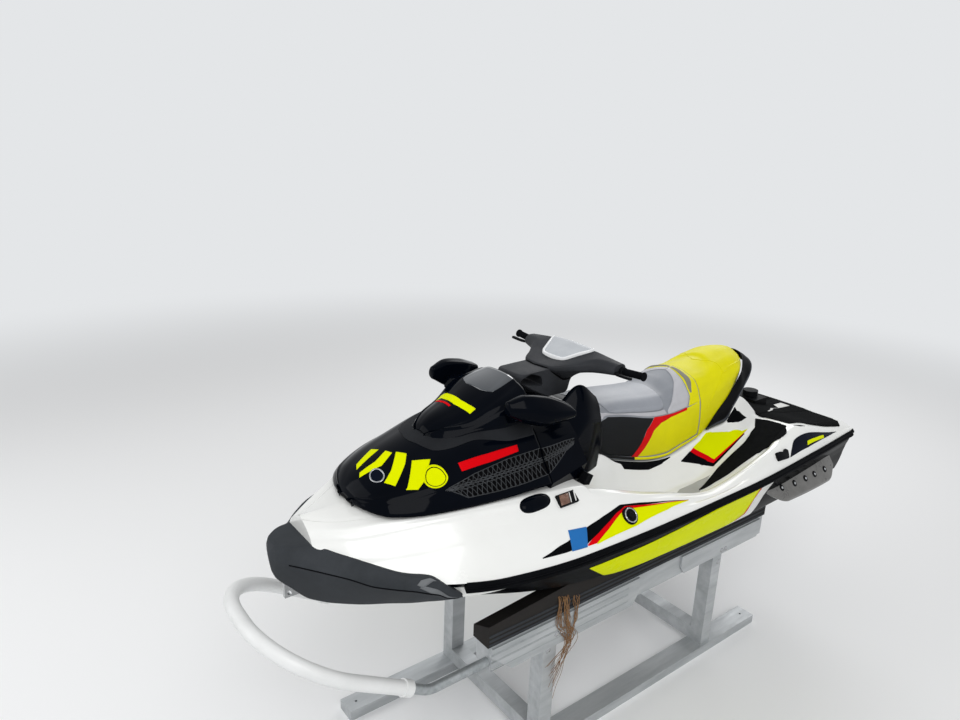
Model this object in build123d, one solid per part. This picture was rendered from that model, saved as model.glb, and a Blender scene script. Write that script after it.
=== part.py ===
from build123d import *
import math
import os

# A three-seat personal watercraft on the bunk cradle that it is parked on, in millimetres.
# Craft axes: x forward from the stern, y to port, z up from the keel. The last lines move
# everything so that the origin is on the floor under the middle of the whole.

# Cradle
keelHeight = 780.0          # keel above the floor
bunkInnerY = 290.0
bunkOuterY = 396.0
bunkRearX = 700.0
bunkFrontX = 2760.0
bunkLiftX = 2150.0          # where the hull begins to rise off the bunk
bunkFrontDrop = 48.0
beamTopZ = -18.0
beamDepth = 118.0
plateThick = 12.0
plateTopZ = -24.0
plateFrontDepth = 145.0
plateRearDepth = 108.0
plateFrontX = (1800.0, 2755.0)
plateRearX = (727.0, 1464.0)
plateSlant = 125.0          # how far the tall plate's lower corner stands back
postSize = 80.0
postX = (1115.0, 2390.0)
skidRearX = 640.0
skidFrontX = 3060.0
skidWide = 110.0
skidHigh = 55.0
crossSize = 80.0

# Bow loop, a pipe with a loose white sleeve over its front
loopPipe = 42.2
loopSleeve = 60.3
loopBore = 52.5
loopSlope = 31.5            # degrees above level
loopLegZ = -111.0
loopBendX = bunkFrontX + 280
loopFrontX = 3665.0         # centre line of the pipe at its front
loopInset = 9.0             # leg of the loop inside the bunk's outer face
loopSocket = 60.0           # length of a leg inside its bunk beam
sleeveStart = 148.0         # distance up the slope where the sleeve begins
collarLength = 40.0
collarWall = 5.0
loopBend = 120.0            # bend radius where the legs turn up the slope
loopRound = 0.904           # corner radius of the front as a share of its half-width

# Steering
columnTilt = 28.0           # degrees that the column leans back
columnX = 2030.0            # column axis at the bar's height
columnZ = 1100.0
barHalf = 437.0
gripInner = 300.0
gripRadius = 19.0
gripX = columnX - 55
gripZ = columnZ - 32

# Water jet
jetZ = 128.0
jetBore = 158.0
jetWall = 14.0
jetFrontX = 480.0
jetRearX = 190.0
bladeGap = 5.0
bladeCount = 4
bladeTwist = 38.0           # degrees between a blade and the shaft
bladeThick = 7.0
bladeLength = 96.0
impellerX = (330.0, 440.0)
hubRadius = 30.0
shaftRadius = 14.0
nozzlePivotX = 160.0
nozzleLength = 105.0
nozzleRadius = 72.0
nozzleExit = 56.0
bucketPivotX = 178.0
bucketRadius = 148.0
bucketWall = 7.0
bucketHalf = 122.0
bucketArc = (52, 116)       # degrees above level, looking aft, that its shell covers when it is up
pinRadius = 9.0
pinGap = 12.0               # reach of the steering pins beyond the nozzle
armHalf = 16.0              # half the width of the arms and cheeks that carry the nozzle and bucket
recessLength = 300.0
recessHalf = 250.0
recessTop = 320.0
tunnelHalf = 118.0
tunnelEndX = 960.0
intakeX = 698.0             # rear end of the intake's opening
rideThick = 12.0
grateBarHalf = 6.0
grateY = (-84, -42, 0, 42, 84)
grateEnd = 16.0

# Lids
lidGap = 5.0
seatRearGap = 9.0           # upright gap where the seat's line is steep
hoodWall = 12.0
hoodHingeX = 3212.0
hoodHingeZ = 660.0
hoodKnuckle = 9.0
seatHingeX = 1972.0
seatHingeZ = 812.0
seatKnuckle = 13.0
knuckleHalf = 60.0
bayX = (900.0, 1780.0)
bayHalf = 160.0
bayFloor = 62.0
seatBaseX = (650.0, 2235.0)
seatBaseHalf = 289.0
tubX = (2480.0, 3040.0)
tubHalf = 190.0
tubFloor = 385.0
tubWall = 6.0
tubTopZ = 640.0

# Tow pylon that slides up out of the platform
pylonX = 365.0
pylonPost = 20.0
pylonHead = 46.0
pylonFootZ = 272.0
pylonPlateZ = 552.0
pylonTopZ = 591.0
pylonRise = 220.0

# Engine
engineX = (1010.0, 1600.0)
engineHalf = 140.0
engineTop = 405.0

# Stern of the craft and the deck's fittings
matThick = 8.0
matMargin = 6.0
railDepth = 40.0
railOut = 14.0
eyeBore = 20.0
eyeThick = 18.0
sternEyeThick = 12.0
bowEyeAt = (3468.0, 0.0, 316.0)
sternEyeAt = (-24.0, 386.0, 300.0)
anchorBore = 14.0

# x, keel z, pad half-width, chine y, z, side knuckle y, z, rub rail y, z, split z
hullTable = [
    (0, 0, 130, 440, 118, 478, 285, 505, 412, 330),
    (500, 0, 130, 480, 132, 525, 292, 555, 418, 330),
    (1300, 0, 130, 505, 142, 565, 300, 606, 420, 330),
    (1900, 0, 120, 500, 150, 565, 302, 611, 420, 330),
    (2400, 12, 90, 455, 185, 540, 318, 600, 422, 330),
    (2800, 62, 55, 365, 250, 470, 348, 548, 430, 330),
    (3100, 160, 30, 235, 322, 350, 392, 430, 448, 345),
    (3300, 275, 18, 130, 388, 215, 430, 285, 470, 400),
    (3410, 372, 12, 60, 430, 115, 470, 165, 494, 450),
]
railFlange = 46.0

# x, crest y, z, inner edge y, z, centre z of the white top moulding
deckTable = [
    (0, 470, 438, 400, 448, 452),
    (300, 490, 486, 420, 494, 500),
    (620, 500, 544, 425, 552, 556),
    (1000, 545, 492, 500, 500, 500),
    (1500, 562, 438, 520, 436, 436),
    (1850, 540, 488, 455, 500, 500),
    (2350, 480, 566, 400, 628, 640),
    (2830, 388, 604, 345, 648, 655),
    (3140, 290, 572, 240, 636, 646),
    (3300, 205, 548, 150, 612, 632),
    (3410, 120, 540, 70, 600, 636),
]

# x, floor z, inner y at the floor, outer y at the floor, inner y at the top, outer y at the top
wellTable = [
    (640, 548, 262, 425, 240, 440),
    (1000, 430, 280, 460, 215, 492),
    (1361, 338, 292, 475, 215, 508),
    (2000, 338, 305, 450, 225, 470),
    (2235, 350, 310, 400, 262, 420),
]
wellTopZ = 760.0
pedestalLowZ = 331.0        # the pedestal under the seat starts just above the joint with the hull

# x, line that the seat rests on, pedestal half-width under the seat
seatLine = [
    (1965, 612, 205),
    (1830, 545, 205),
    (1440, 466, 215),
    (1180, 515, 215),
    (1080, 545, 205),
    (925, 556, 205),
    (875, 618, 203),
    (815, 690, 196),
]

# x, underside half-width, side y, side z, shoulder y, shoulder z, centre z of the seat
seatTable = [
    (1960, 197, 200, 760, 128, 832, 842),
    (1830, 197, 200, 745, 132, 826, 844),
    (1440, 207, 208, 690, 140, 794, 817),
    (1330, 207, 208, 705, 142, 820, 848),
    (1180, 206, 206, 730, 138, 862, 890),
    (1080, 196, 202, 762, 132, 872, 898),
    (925, 172, 195, 818, 125, 902, 929),
    (815, 140, 183, 850, 118, 916, 945),
    (740, 110, 142, 856, 96, 912, 938),
    (680, 70, 98, 850, 66, 896, 918),
    (622, 24, 36, 838, 26, 862, 874),
]
seatRearUnder = {740: 737, 680: 778, 622: 805}
seatSplitX = 1180

# outer low, outer top and inner top corner of the hoop round the seat's back, from its port
# foot to the middle
hoopTable = [
    ((1100, 214, 552), (1100, 213, 560), (1100, 208, 562)),
    ((1024, 212, 558), (1024, 211, 574), (1024, 202, 634)),
    ((925, 210, 566), (925, 209, 588), (925, 196, 706)),
    ((875, 209, 628), (870, 208, 650), (875, 192, 752)),
    ((815, 208, 700), (812, 207, 722), (815, 190, 828)),
    ((762, 197, 746), (758, 196, 770), (770, 168, 848)),
    ((704, 184, 792), (702, 183, 816), (722, 135, 872)),
    ((653, 152, 820), (651, 151, 846), (676, 98, 888)),
    ((621, 108, 838), (619, 107, 864), (648, 66, 896)),
    ((602, 50, 846), (600, 50, 874), (630, 32, 900)),
    ((597, 0, 848), (595, 0, 878), (624, 0, 902)),
]
hoopInnerY = 40.0           # how far the hoop's low inner edge stands in from its outer one

# x, low y, z, vent top y, z, shoulder y, z, centre z of the hood
hoodTable = [
    (3205, 120, 656, 100, 680, 60, 696, 702),
    (3140, 238, 654, 212, 690, 130, 742, 758),
    (2915, 330, 656, 288, 728, 195, 812, 846),
    (2700, 364, 658, 306, 738, 230, 862, 902),
    (2440, 384, 664, 317, 751, 244, 878, 923),
]

# x, low y, z, upper y, z, top y, z, centre z of the wind deflector
deflectorTable = [
    (2850, 90, 850, 70, 872, 40, 886, 892),
    (2690, 172, 880, 165, 905, 100, 952, 966),
    (2560, 218, 890, 210, 970, 120, 1020, 1030),
    (2440, 226, 900, 205, 1000, 90, 1062, 1066),
]
deflectorWall = 10.0

# the same columns for the fixed panel between the hood and the console
cowlTable = [
    (2434, 384, 664, 317, 751, 244, 878, 923),
    (2200, 352, 690, 292, 768, 215, 856, 880),
]

# x, low y, side y, z, top y, z, centre z of the dark console behind it
consoleTable = [
    (2201, 250, 272, 765, 162, 905, 862),
    (2090, 245, 236, 830, 158, 975, 866),
    (1990, 205, 190, 800, 150, 900, 850),
]
consoleLowZ = 560.0

# x of the vent grille's sections on the hood and on the cowl
hoodVentX = (2900.0, 2700.0, 2446.0)
cowlVentX = (2430.0, 2240.0)
ventShares = (0.22, 0.92)   # its edges, as shares of the flank from the low edge up
ventThick = 5.0

# x and the (y, z) outline of the port sponson
sponsonTable = [
    (245, [(450, 232), (536, 232), (542, 250), (495, 316)]),
    (335, [(450, 176), (572, 178), (580, 206), (500, 328)]),
    (780, [(450, 178), (584, 184), (592, 214), (505, 332)]),
    (1000, [(470, 272), (546, 282), (552, 302), (515, 322)]),
]

# x and the (y, z) outline of the port mirror's shell and foot
mirrorTable = [
    (2340, [(280, 900), (350, 896), (400, 928), (405, 972), (350, 1000), (285, 996)]),
    (2450, [(260, 908), (345, 916), (384, 948), (388, 986), (322, 1042), (262, 1034)]),
    (2540, [(258, 928), (318, 934), (346, 960), (348, 1008), (308, 1056), (258, 1048)]),
    (2624, [(260, 984), (280, 976), (300, 986), (302, 1012), (286, 1036), (260, 1032)]),
]
mirrorFootTable = [
    (2445, [(205, 900), (262, 905), (262, 985), (196, 985)]),
    (2560, [(205, 900), (262, 930), (262, 985), (196, 985)]),
]

# x, z of the steering cover's side outline, from the column's top
neckOutline = [
    (374, -44), (262, -40), (190, -38), (80, -30), (-52, 10), (-52, -50),
    (30, -115), (50, -188), (185, -188), (300, -132), (375, -85),
]
# the opening through it
neckHole = [(220, -120), (345, -92), (355, -68), (295, -48), (232, -70)]
neckHalf = 84.0
# y and the (x, z) outline, from the column's top, of the cover's port half
coverTable = [
    (-2, [(-68, 2), (-46, 26), (80, -26), (195, -34), (205, -56), (60, -100), (-58, -48)]),
    (82, [(-68, 2), (-46, 27), (75, -14), (185, -32), (186, -50), (82, -108), (-58, -46)]),
    (150, [(-68, 0), (-46, 26), (50, -4), (105, -22), (104, -50), (44, -68), (-56, -40)]),
    (220, [(-70, -4), (-52, 17), (0, 10), (30, -10), (34, -38), (20, -54), (-62, -42)]),
    (312, [(-80, -14), (-68, 0), (-30, 3), (-8, -8), (0, -30), (-10, -45), (-70, -45)]),
]
# x from the column's top, half-width, z from it, thickness of the pad
padTable = [(93, 76, -38, 30), (80, 88, -30, 44), (20, 120, -8, 46), (-38, 150, 10, 48), (-50, 130, 10, 32)]
bossLowZ = 835.0
bossTopZ = 888.0
bossRadius = 34.0

# x, lower y, z, outer y, z, upper y, z, centre z above, centre z below of the bow bumper
bumperTable = [
    (2945, 395, 318, 440, 336, 452, 360, 360, 318),
    (3030, 350, 300, 466, 384, 478, 440, 440, 300),
    (3081, 322, 296, 470, 420, 452, 478, 478, 296),
    (3162, 255, 285, 425, 440, 398, 490, 490, 285),
    (3262, 180, 276, 338, 446, 300, 520, 500, 262),
    (3340, 120, 278, 264, 470, 206, 540, 530, 270),
    (3402, 70, 290, 200, 482, 110, 556, 556, 284),
    (3470, 36, 350, 130, 494, 90, 560, 560, 344),
    (3520, 16, 405, 70, 500, 50, 560, 560, 400),
    (3540, 10, 452, 32, 508, 24, 556, 557, 448),
]

# centre, lean about the x axis (the knee panels lean about y) and size of the deck's fittings
fittings = {
    "cleats": ((2560, 405, 610), (-40, 0), (150, 70, 50)),
    "side_vents": ((2400, 432, 598), (-38, 0), (100, 54, 36)),
    "stern_brackets": ((842, 543, 470), (0, 0), (74, 30, 70)),
    "knee_panels": ((2215, 330, 600), (0, -30), (36, 90, 90)),
}
capAt = (2120.0, 546.0, 485.0)
capLean = -48.0
capRadius = 40.0
capLength = 40.0
pylonPlate = (65.0, 80.0, 50.0)     # half-length, half-width and depth of the plate round the pylon
bowEyeArm = (60.0, 20.0, 60.0)      # how far it reaches aft, forward and up from its hole
bowEyeLow = 20.0
sternEyeSize = 22.0

stations = sorted({row[0] for row in hullTable} | {row[0] for row in deckTable})
postBottomZ = -keelHeight + skidHigh
jetOuter = jetBore / 2 + jetWall
loopHalfWidth = bunkOuterY - loopPipe / 2 - loopInset


def along(table, x):
    """The table's row at x, straight between its stations."""
    rows = sorted(table)
    for low, high in zip(rows, rows[1:]):
        if low[0] <= x <= high[0]:
            share = (x - low[0]) / (high[0] - low[0])
            return [a + share * (b - a) for a, b in zip(low, high)]
    return list(rows[0] if x < rows[0][0] else rows[-1])


def ring(x, half):
    """The points of a closed section at x from its port half, listed as (y, z)."""
    other = [(-y, z) for y, z in reversed(half) if y > 0]
    return [Vector(x, y, z) for y, z in half + other]


def sheet(points):
    return Face(Wire.make_polygon(points))


def panel(a, b, c, d):
    """The flat face or the two triangles that fill a, b, c, d."""
    corners = [a]
    for point in (b, c, d):
        if (point - corners[-1]).length > 0.01 and (point - a).length > 0.01:
            corners.append(point)
    if len(corners) < 3:
        return []
    if len(corners) == 3:
        return [sheet(corners)]
    normal = (b - a).cross(c - a)
    if normal.length > 0 and abs(normal.normalized().dot(d - a)) < 0.001:
        return [sheet(corners)]
    if (c - a).length < (d - b).length:
        return [sheet([a, b, c]), sheet([a, c, d])]
    return [sheet([b, c, d]), sheet([b, d, a])]


def skin(rings):
    """A solid of flat panels between neighbouring sections with as many points each."""
    faces = [sheet(rings[0]), sheet(rings[-1])]
    for near, far in zip(rings, rings[1:]):
        for i in range(len(near)):
            j = (i + 1) % len(near)
            faces += panel(near[i], near[j], far[j], far[i])
    solid = Solid(Shell(faces))
    return solid if solid.volume > 0 else skin([points[::-1] for points in rings])


def sideBody(sections):
    """A solid through sections of (x, [(y, z), ...]) on the port side only."""
    return skin([[Vector(x, y, z) for y, z in outline] for x, outline in sections])


def block(x0, x1, y0, y1, z0, z1):
    return Pos((x0 + x1) / 2, (y0 + y1) / 2, (z0 + z1) / 2) * Box(abs(x1 - x0), abs(y1 - y0), abs(z1 - z0))


def profile(points, y0, y1):
    """A side outline of (x, z) points, carried from y0 to y1."""
    return Solid.extrude(sheet([Vector(x, y0, z) for x, z in points]), Vector(0, y1 - y0, 0))


def rod(start, end, radius):
    start = Vector(*start)
    end = Vector(*end)
    plane = Plane(origin=start, z_dir=end - start)
    return Solid.extrude(Face(Wire.make_circle(radius, plane)), end - start)


def pipe(points, radii, radius):
    """A round pipe along straight runs joined by arcs."""
    path = FilletPolyline(*points, radius=radii)
    plane = Plane(origin=path @ 0, z_dir=path % 0)
    return sweep(plane * Circle(radius), path=path)


def toStarboard(shape):
    return mirror(shape, about=Plane.XZ)


def both(shape):
    return [shape, toStarboard(shape)]


def biggest(shape):
    return max(shape.solids(), key=lambda solid: solid.volume)


def hullSide(x):
    """The hull's outline at x from the flat of the keel to the rub rail, as (y, z)."""
    keel, pad, chineY, chineZ, sideY, sideZ, railY, railZ = along(hullTable, x)[1:9]
    return [(pad, keel), (chineY, chineZ), (sideY, sideZ), (railY, railZ)]


def hullWidth(x, z):
    """The hull's half-width at x and height z."""
    outline = hullSide(x)
    for (lowY, lowZ), (highY, highZ) in zip(outline, outline[1:]):
        if lowZ <= z <= highZ:
            return lowY + (highY - lowY) * (z - lowZ) / (highZ - lowZ)
    return outline[-1][0]


def hullTop(x):
    """The joint between hull and top moulding at x: inner corner, flange edge, rub rail."""
    railY, railZ, split = along(hullTable, x)[7:10]
    inner = min(railY - railFlange - 25, hullWidth(x, split) - 30)
    return [(inner, split), (railY - railFlange, railZ), (railY, railZ)]


def hullShape():
    rings = []
    for x in stations:
        keel, split = along(hullTable, x)[1], along(hullTable, x)[9]
        half = [(0, keel)] + hullSide(x) + hullTop(x)[1::-1] + [(0, split)]
        rings.append(ring(x, half))
    return skin(rings)


def deckShape():
    rings = []
    for x in stations:
        split = along(hullTable, x)[9]
        crestY, crestZ, innerY, innerZ, centre = along(deckTable, x)[1:6]
        half = [(0, split)] + hullTop(x) + [(crestY, crestZ), (innerY, innerZ), (0, centre)]
        rings.append(ring(x, half))
    return skin(rings)


def pedestalShape():
    sections = []
    for x, line, width in seatLine:
        inner = along(wellTable, x)[2]
        sections.append((x, inner, width, line))
    front = along(wellTable, 2235)[2]
    sections = [(2235, front, 262, 560), (2000, along(wellTable, 2000)[2], 225, 560)] + sections
    sections.append((650, 262, 215, 575))
    rings = []
    for x, inner, width, top in sections:
        rings.append(ring(x, [(0, pedestalLowZ), (inner, pedestalLowZ), (width, top), (0, top)]))
    return skin(rings)


def wellCut():
    sections = []
    for x, floor, innerLow, outerLow, innerTop, outerTop in wellTable:
        outline = [(innerLow, floor), (outerLow, floor), (outerTop, wellTopZ), (innerTop, wellTopZ)]
        sections.append((x, outline))
    return sideBody(sections)


def wellMat():
    sections = []
    for x in (650, 1000, 1361, 1590):
        floor, inner, outer = along(wellTable, x)[1:4]
        inner = inner + matMargin
        outer = outer - matMargin
        top = floor + matThick
        sections.append((x, [(inner, floor), (outer, floor), (outer, top), (inner, top)]))
    return sideBody(sections)


def platformMat():
    rings = []
    for x in (24, 300, 500, 615):
        innerY, innerZ, centre = along(deckTable, x)[3:6]
        half = [(0, centre), (innerY, innerZ), (innerY, innerZ + matThick), (0, centre + matThick)]
        rings.append(ring(x, half))
    return skin(rings)


def railShape(hull, deck, bumper):
    sections = []
    for row in hullTable[:7]:
        x, railY, railZ = row[0], row[7], row[8]
        low = railZ - railDepth
        outer = railY + railOut
        sections.append((x, [(railY - 34, low), (outer, low), (outer, railZ + 3), (railY - 34, railZ + 3)]))
    port = biggest(sideBody(sections) - hull - deck - bumper)
    railY, railZ = hullTable[0][7:9]
    stern = block(-10, 0, -railY - railOut, railY + railOut, railZ - railDepth, railZ + 3)
    return port + toStarboard(port) + stern


def bumperShape(hull, deck):
    rings = []
    for x, lowY, lowZ, outY, outZ, topY, topZ, above, below in bumperTable:
        rings.append(ring(x, [(0, below), (lowY, lowZ), (outY, outZ), (topY, topZ), (0, above)]))
    return biggest(skin(rings) - hull - deck)


def sponsonShape(hull):
    return biggest(sideBody(sponsonTable) - hull)


def hoodHalf(row, inset):
    x, lowY, lowZ, ventY, ventZ, shoulderY, shoulderZ, centre = row
    if inset == 0:
        return [(0, lowZ), (lowY, lowZ), (ventY, ventZ), (shoulderY, shoulderZ), (0, centre)]
    low = lowZ - 1
    half = [(0, low), (lowY - inset, low), (ventY - inset, ventZ - inset * 0.4)]
    return half + [(shoulderY - inset, shoulderZ - inset), (0, centre - inset)]


def hoodShape():
    outer = skin([ring(row[0], hoodHalf(row, 0)) for row in hoodTable])
    rings = [ring(row[0], hoodHalf(row, hoodWall)) for row in hoodTable[1:]]
    rings[0] = [point - Vector(hoodWall, 0, 0) for point in rings[0]]
    inner = skin(rings)
    rear = hoodTable[-1]
    mouth = Solid.extrude(sheet(ring(rear[0] + 1, hoodHalf(rear, hoodWall))), Vector(-20, 0, 0))
    return biggest(outer - inner - mouth)


def deflectorHalf(row, inset):
    x, lowY, lowZ, upperY, upperZ, topY, topZ, centre = row
    points = [(0, lowZ - 60), (lowY - inset, lowZ - 60), (lowY - inset, lowZ)]
    return points + [(upperY - inset, upperZ - inset * 0.5), (topY, topZ - inset), (0, centre - inset)]


def deflectorFilled():
    return skin([ring(row[0], deflectorHalf(row, 0)) for row in deflectorTable])


def hoodFilled():
    return skin([ring(row[0], [(0, row[2] - 120)] + hoodHalf(row, 0)[1:]) for row in hoodTable])


def deflectorShape():
    inner = skin([ring(row[0], deflectorHalf(row, deflectorWall)) for row in deflectorTable[1:]])
    rear = deflectorTable[-1]
    mouth = Solid.extrude(sheet(ring(rear[0] + 1, deflectorHalf(rear, deflectorWall))), Vector(-20, 0, 0))
    return biggest(deflectorFilled() - inner - mouth - hoodFilled())


def trimShape():
    rings = []
    for row in deflectorTable:
        x, lowY, lowZ = row[0:3]
        rings.append(ring(x, [(0, lowZ - 70), (lowY + 34, lowZ - 70), (lowY + 26, lowZ + 4), (0, lowZ + 4)]))
    front = deflectorTable[0]
    tip = ring(front[0] + 60, [(0, 790), (70, 790), (60, front[2] + 2), (0, front[2] + 12)])
    return biggest(skin([tip] + rings) - hoodFilled() - deflectorFilled())


def meshShape(table, places):
    """The vent's grille, set flat on the flank between its low edge and the vent line."""
    sections = []
    for x in places:
        lowY, lowZ, ventY, ventZ = along(table, x)[1:5]
        edges = []
        for share in ventShares:
            edges.append((lowY - share * (lowY - ventY), lowZ + share * (ventZ - lowZ)))
        (y0, z0), (y1, z1) = edges
        sections.append((x, [(y0, z0), (y0 + ventThick, z0 + 2), (y1 + ventThick, z1 + 2), (y1, z1)]))
    return sideBody(sections)


def columnPoint(z):
    """The x of the steering axis at height z."""
    return columnX - (z - columnZ) * math.tan(math.radians(columnTilt))


def steeringCover():
    neck = profile([(columnX + x, columnZ + z) for x, z in neckOutline], -neckHalf, neckHalf)
    hole = profile([(columnX + x, columnZ + z) for x, z in neckHole], -2 * neckHalf, 2 * neckHalf)
    sections = []
    for y, outline in coverTable:
        sections.append([Vector(columnX + x, y, columnZ + z) for x, z in outline])
    wing = skin(sections)
    return neck - hole + wing + toStarboard(wing)


def consoleShape():
    rings = []
    for x, lowY, sideY, sideZ, topY, topZ, centre in consoleTable:
        rings.append(ring(x, [(0, consoleLowZ), (lowY, consoleLowZ), (sideY, sideZ), (topY, topZ),
                              (topY - 42, centre), (0, centre)]))
    boss = rod((columnPoint(bossLowZ), 0, bossLowZ), (columnPoint(bossTopZ), 0, bossTopZ), bossRadius)
    cowl = []
    for row in cowlTable:
        cowl.append(ring(row[0], [(0, consoleLowZ), (row[1] - 40, consoleLowZ)] + hoodHalf(row, 0)[1:]))
    return skin(rings) + boss + skin(cowl)


def barPad(cover):
    sections = []
    for x, half, z, thick in padTable:
        low = columnZ + z - thick / 2
        high = columnZ + z + thick / 2
        sections.append(ring(columnX + x, [(0, low), (half, low), (half * 0.86, high), (0, high + 6)]))
    return biggest(skin(sections) - cover)


def gripShape():
    start = (gripX, gripInner + 6, gripZ)
    end = (gripX - 10, barHalf, gripZ + 7)
    return rod(start, end, gripRadius)


def leverShape():
    root = block(gripX + 20, gripX + 58, gripInner + 2, gripInner + 30, gripZ - 15, gripZ + 11)
    arm = block(gripX + 42, gripX + 58, gripInner, gripInner + 112, gripZ - 8, gripZ + 4)
    return root + arm


def impellerShape():
    rear, front = impellerX
    blades = rod((rear, 0, jetZ), (front, 0, jetZ), hubRadius)
    tip = jetBore / 2 - bladeGap
    root = hubRadius - 8
    flat = Pos(0, 0, (tip + root) / 2) * Rot(0, 0, bladeTwist) * Box(bladeLength, bladeThick, tip - root)
    for i in range(bladeCount):
        turn = Rot(360 / bladeCount * i, 0, 0)
        blades = blades + Pos((rear + front) / 2, 0, jetZ) * turn * flat
    trim = rod((rear - 30, 0, jetZ), (front + 30, 0, jetZ), tip)
    return biggest(blades & trim)


def pumpShape():
    body = rod((jetRearX, 0, jetZ), (jetFrontX, 0, jetZ), jetOuter)
    bore = rod((jetRearX - 1, 0, jetZ), (jetFrontX + 1, 0, jetZ), jetBore / 2)
    low = nozzleRadius + pinGap
    armX = (nozzlePivotX - armHalf, jetRearX + 20)
    arms = block(*armX, -armHalf, armHalf, jetZ + low, jetZ + jetOuter - 2)
    arms = arms + block(*armX, -armHalf, armHalf, jetZ - jetOuter + 2, jetZ - low)
    flange = block(jetFrontX - 24, jetFrontX, -tunnelHalf, tunnelHalf, rideThick, 2 * jetZ - 14)
    cheekX = (bucketPivotX - 14, jetRearX + 34)
    cheek = block(*cheekX, jetOuter - 8, bucketHalf - 12, jetZ - armHalf, jetZ + armHalf)
    vane = block(jetRearX + 10, jetRearX + 60, -4, 4, jetZ - jetBore / 2 - 3, jetZ + jetBore / 2 + 3)
    cone = rod((jetRearX + 6, 0, jetZ), (jetRearX + 90, 0, jetZ), 26)
    return body + flange - bore + vane + cone + arms + cheek + toStarboard(cheek)


def nozzleShape():
    wall = 8
    middle = Pos(nozzlePivotX + 14 - nozzleLength / 2, 0, jetZ) * Rot(0, 90, 0)
    outer = middle * Cone(nozzleExit + wall, nozzleRadius, nozzleLength)
    inner = middle * Cone(nozzleExit, nozzleRadius - wall, nozzleLength + 2)
    near = nozzleRadius - 9
    far = nozzleRadius + pinGap
    pin = rod((nozzlePivotX, 0, jetZ + near), (nozzlePivotX, 0, jetZ + far), pinRadius)
    low = rod((nozzlePivotX, 0, jetZ - far), (nozzlePivotX, 0, jetZ - near), pinRadius)
    return outer - inner + pin + low


def bucketShape():
    centre = Pos(bucketPivotX, 0, jetZ) * Rot(90, 0, 0)
    outer = centre * Cylinder(bucketRadius + bucketWall, 2 * bucketHalf)
    inner = centre * Cylinder(bucketRadius, 2 * bucketHalf + 2)
    reach = 2 * bucketRadius
    wedge = []
    for angle in bucketArc:
        turn = math.radians(angle)
        wedge.append((bucketPivotX - reach * math.cos(turn), jetZ + reach * math.sin(turn)))
    sector = profile([(bucketPivotX, jetZ), wedge[0], wedge[1]], -bucketHalf - 1, bucketHalf + 1)
    shell = (outer - inner) & sector
    corners = [(bucketPivotX + 24, jetZ - 20), (bucketPivotX - 24, jetZ - 20), wedge[0], wedge[1]]
    cheek = outer & profile(corners, bucketHalf - bucketWall, bucketHalf)
    return shell + cheek + toStarboard(cheek)


def hoopShape():
    """The hoop round the seat's back: a leaning band with a low outer edge."""
    rings = []
    for outerLow, outerTop, innerTop in hoopTable:
        x = outerLow[0] + 0.5 * (innerTop[0] - outerLow[0])
        innerLow = (x, max(outerLow[1] - hoopInnerY, innerTop[1] * 0.5), outerLow[2])
        rings.append([Vector(*corner) for corner in (outerLow, outerTop, innerTop, innerLow)])
    rings += [[Vector(point.X, -point.Y, point.Z) for point in corners] for corners in rings[-2::-1]]
    return skin(rings)


def onSlope(run, y):
    """A point of the loop's sloping plane, run mm up from where the legs bend."""
    rise = math.radians(loopSlope)
    return (loopBendX + run * math.cos(rise), y, loopLegZ + run * math.sin(rise))


def loopPoints(start):
    """The loop's corners from a distance up the slope, round the front and back."""
    front = (loopFrontX - loopBendX) / math.cos(math.radians(loopSlope))
    side = loopHalfWidth
    return [onSlope(start, side), onSlope(front, side), onSlope(front, -side), onSlope(start, -side)]


def loopPipeShape():
    legX = bunkFrontX - loopSocket
    port = (legX, loopHalfWidth, loopLegZ)
    starboard = (legX, -loopHalfWidth, loopLegZ)
    corner = loopHalfWidth * loopRound
    return pipe([port] + loopPoints(0) + [starboard], [loopBend, corner, corner, loopBend], loopPipe / 2)


def loopSleeveShape():
    corner = loopHalfWidth * loopRound
    sleeve = pipe(loopPoints(sleeveStart), [corner, corner], loopSleeve / 2)
    bore = pipe(loopPoints(sleeveStart), [corner, corner], loopBore / 2)
    return sleeve - bore


def collarShape():
    """The sleeve's end ring, which centres it on the pipe."""
    start = onSlope(sleeveStart - collarLength, loopHalfWidth)
    end = onSlope(sleeveStart, loopHalfWidth)
    return rod(start, end, loopSleeve / 2 + collarWall) - rod(start, end, loopPipe / 2)


def bunkPad(hull):
    """The covered bunk: its top follows the hull's flat run, then drops away to its front end."""
    sections = []
    for x, drop in ((bunkRearX - 20, 0), (bunkLiftX, 0), (bunkFrontX, bunkFrontDrop)):
        outline = [(bunkInnerY, beamTopZ), (bunkOuterY, beamTopZ)]
        for y in (bunkOuterY, bunkInnerY):
            (padY, padZ), (chineY, chineZ) = hullSide(bunkLiftX)[0:2]
            outline.append((y, padZ + (y - padY) * (chineZ - padZ) / (chineY - padY) + 4 - drop))
        sections.append((x, outline))
    return biggest(sideBody(sections) - hull)


def sidePlates():
    front0, front1 = plateFrontX
    low = plateTopZ - plateFrontDepth
    outline = [(front0 + 40, low), (front1 - plateSlant, low), (front1, plateTopZ - 34)]
    outline += [(front1 - 12, plateTopZ), (front0, plateTopZ), (front0, low + 60)]
    front = profile(outline, bunkOuterY, bunkOuterY + plateThick)
    rear0, rear1 = plateRearX
    low = plateTopZ - plateRearDepth
    outline = [(rear0 + 30, low), (rear1 - 30, low), (rear1, low + 40), (rear1, plateTopZ)]
    outline += [(rear0 + 10, plateTopZ), (rear0, plateTopZ - 12), (rear0, low + 40)]
    rear = profile(outline, bunkOuterY, bunkOuterY + plateThick)
    return [front, rear]


nodes = {}


def keep(name, shapes):
    """Gathers a node's solids under its name."""
    found = []
    for shape in shapes if isinstance(shapes, list) else [shapes]:
        found += list(shape.solids())
    nodes[name] = Compound(found) if len(found) > 1 else found[0]


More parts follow.
